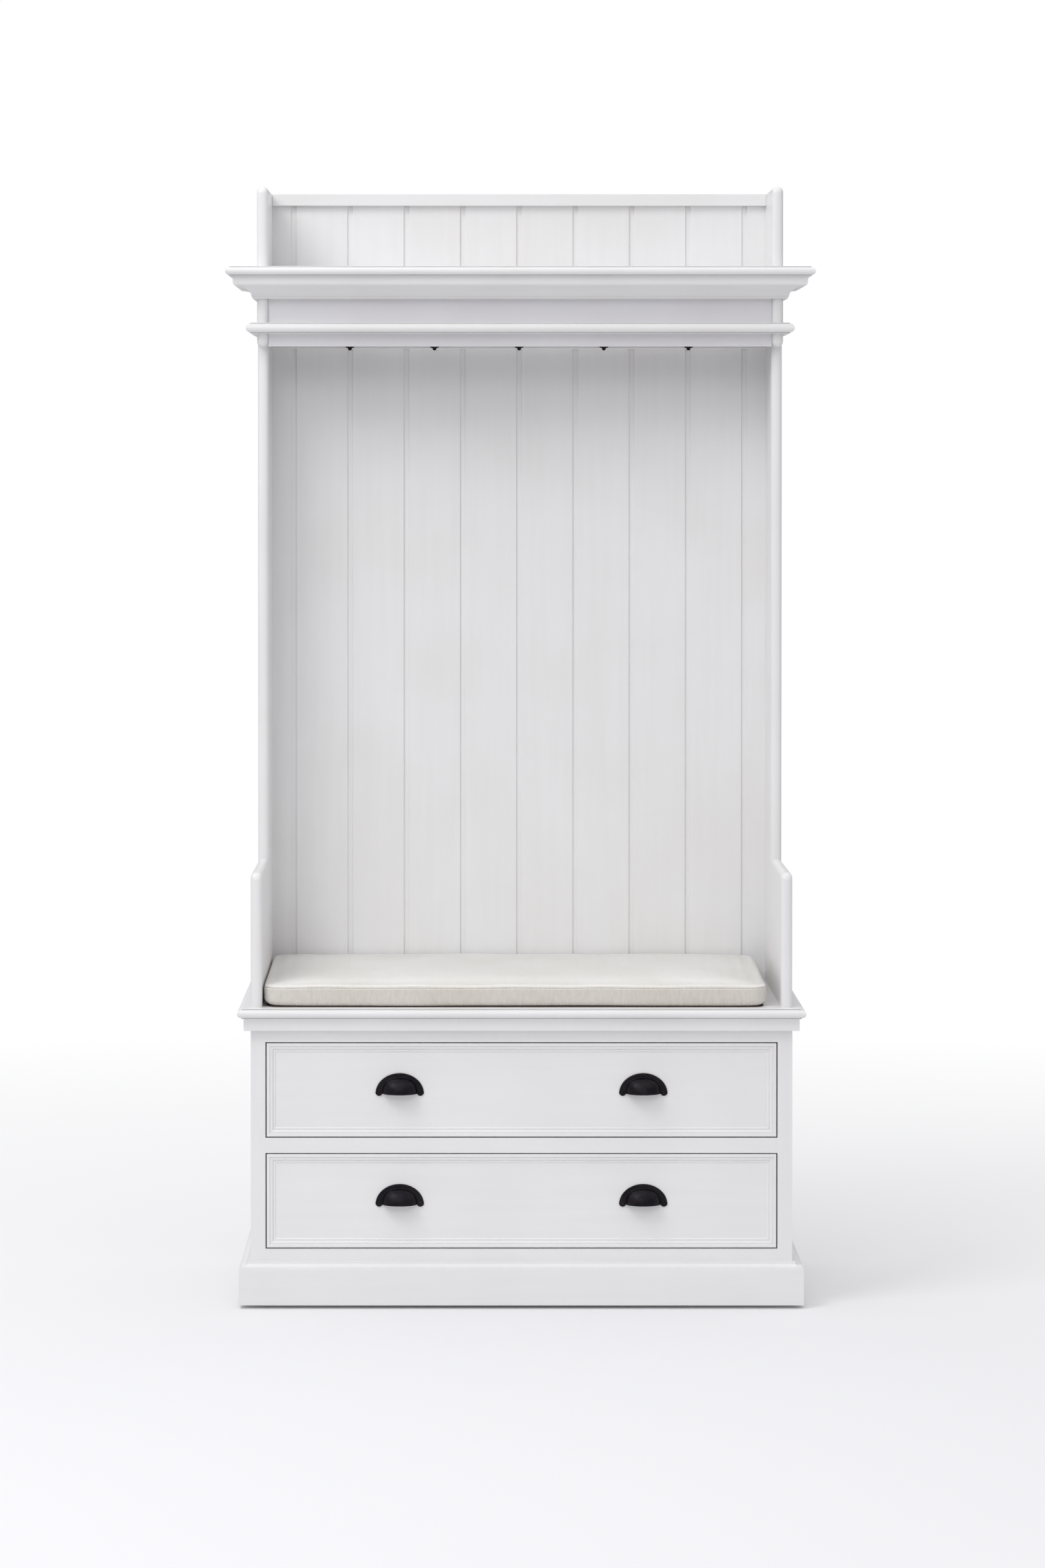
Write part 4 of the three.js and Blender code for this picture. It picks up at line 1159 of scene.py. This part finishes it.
def stitch_tree():
    """Lays short stitches end to end along a closed thread line."""
    inputs = {"Pitch": ("Float", 0.005), "Stitch": ("Object", None), "Finish": ("Material", None)}
    tree, given, keys = new_tree("topstitching", "Line", "Stitches", **inputs)
    line = add_node(tree, "GeometryNodeMeshToCurve", {"Mesh": given["Line"]})
    spacing = {"Curve": line, "Length": given["Pitch"]}
    spaced = add_node(tree, "GeometryNodeCurveToPoints", spacing, mode="LENGTH").outputs
    shape = add_node(tree, "GeometryNodeObjectInfo", {"Object": given["Stitch"]})
    along = {"Vector": spaced["Tangent"]}
    aim = add_node(tree, "FunctionNodeAlignRotationToVector", along, axis="X")
    copies = {"Points": spaced["Points"], "Instance": shape.outputs["Geometry"], "Rotation": aim}
    end_tree(tree, add_node(tree, "GeometryNodeInstanceOnPoints", copies), given["Finish"])
    return tree, keys


def add_topstitching(path):
    """A row of stitches along a closed path round the cushion, in millimetres."""
    half = STITCH_LENGTH / 2
    stations = [(-half, 0.2), (-half * 0.8, 0.75), (0, 1.0), (half * 0.8, 0.75), (half, 0.2)]
    thread = bar([(x, 0, 0) for x, _ in stations], [STITCH_RADIUS * r for _, r in stations], 6)
    stitch = scratch(thread, "stitch")
    line = bpy.data.meshes.new("line")
    edges = [(i, (i + 1) % len(path)) for i in range(len(path))]
    line.from_pydata([tuple(p * MM) for p in path], edges, [])
    tree, keys = stitch_tree()
    values = {"Pitch": STITCH_PITCH * MM, "Stitch": stitch, "Finish": THREAD}
    made = grown(line, tree, keys, values)
    made.shade_smooth()
    finished("cushion_topstitching", made, THREAD, "cushion_fabric", "cushion")
    drop(stitch)


# ---- Floor, light and camera ----
def add_stage():
    """A floor of pale paper that turns into a glowing white sweep behind the furniture."""
    bm = bmesh.new()
    bmesh.ops.create_circle(bm, cap_ends=True, radius=40.0, segments=96)
    floor = scratch(mesh_of(bm), "floor")
    material, tree, place = new_material("studio_floor")
    far = add_node(tree, "ShaderNodeVectorMath", [place, SWEEP_START], operation="DISTANCE")
    limits = [far, *SWEEP_FADE, 0.0, 1.0]
    fade = add_node(tree, "ShaderNodeMapRange", limits)
    paper = add_node(tree, "ShaderNodeBsdfDiffuse", {"Color": linear("#ebebed")})
    seen = add_node(tree, "ShaderNodeLightPath").outputs["Is Camera Ray"]
    strength = add_node(tree, "ShaderNodeMapRange", [seen, 0.0, 1.0, SWEEP_LIGHT, 1.0])
    glow = add_node(tree, "ShaderNodeEmission", {"Color": (1, 1, 1, 1), "Strength": strength})
    mix = add_node(tree, "ShaderNodeMixShader", [fade, paper, glow])
    add_node(tree, "ShaderNodeOutputMaterial", {"Surface": mix})
    floor.data.materials.append(material)


def add_light(name, place, aim, size, power):
    data = bpy.data.lights.new(name, "AREA")
    data.shape = "RECTANGLE"
    data.size, data.size_y = size
    data.energy = power
    obj = bpy.data.objects.new(name, data)
    obj.location = place
    obj.rotation_euler = (Vector(aim) - Vector(place)).to_track_quat("-Z", "Y").to_euler()
    bpy.context.scene.collection.objects.link(obj)


def add_lights():
    """A dome that is white to the eye and lights more from above, and two softboxes."""
    world = bpy.data.worlds.new("studio")
    bpy.context.scene.world = world
    world.use_nodes = True
    tree = world.node_tree
    tree.nodes.clear()
    aim = add_node(tree, "ShaderNodeTexCoord").outputs["Generated"]
    up = add_node(tree, "ShaderNodeSeparateXYZ", [aim]).outputs["Z"]
    above = add_node(tree, "ShaderNodeMath", [up, 0.0], operation="MAXIMUM")
    ceiling = add_node(tree, "ShaderNodeMath", [above, 1.5], operation="POWER")
    limits = [ceiling, 0.0, 1.0, DOME_LEVEL, DOME_LEVEL + DOME_ZENITH]
    strength = add_node(tree, "ShaderNodeMapRange", limits)
    dome = {"Color": linear("#f8f8fa"), "Strength": strength}
    given = add_node(tree, "ShaderNodeBackground", dome)
    seen = add_node(tree, "ShaderNodeBackground", {"Color": (1, 1, 1, 1), "Strength": 1.0})
    camera_ray = add_node(tree, "ShaderNodeLightPath").outputs["Is Camera Ray"]
    mix = add_node(tree, "ShaderNodeMixShader", [camera_ray, given, seen])
    add_node(tree, "ShaderNodeOutputWorld", {"Surface": mix})
    for name, (place, aim, size, power) in SOFTBOXES.items():
        add_light(name, place, aim, size, power)


def add_camera():
    data = bpy.data.cameras.new("view")
    data.sensor_width = 36.0
    data.lens = LENS
    data.shift_x, data.shift_y = CAMERA_SHIFT
    camera = bpy.data.objects.new("view", data)
    camera.location = CAMERA_PLACE
    camera.rotation_euler = (math.radians(90 - CAMERA_PITCH), 0, 0)
    bpy.context.scene.collection.objects.link(camera)
    bpy.context.scene.camera = camera


bpy.context.scene.view_settings.view_transform = "Standard"
add_camera()
add_stage()
add_lights()
add_boards()
add_back_boards()
add_mouldings()
add_bench_top()
add_drawers()
add_screws(add_castings())
add_cushion()
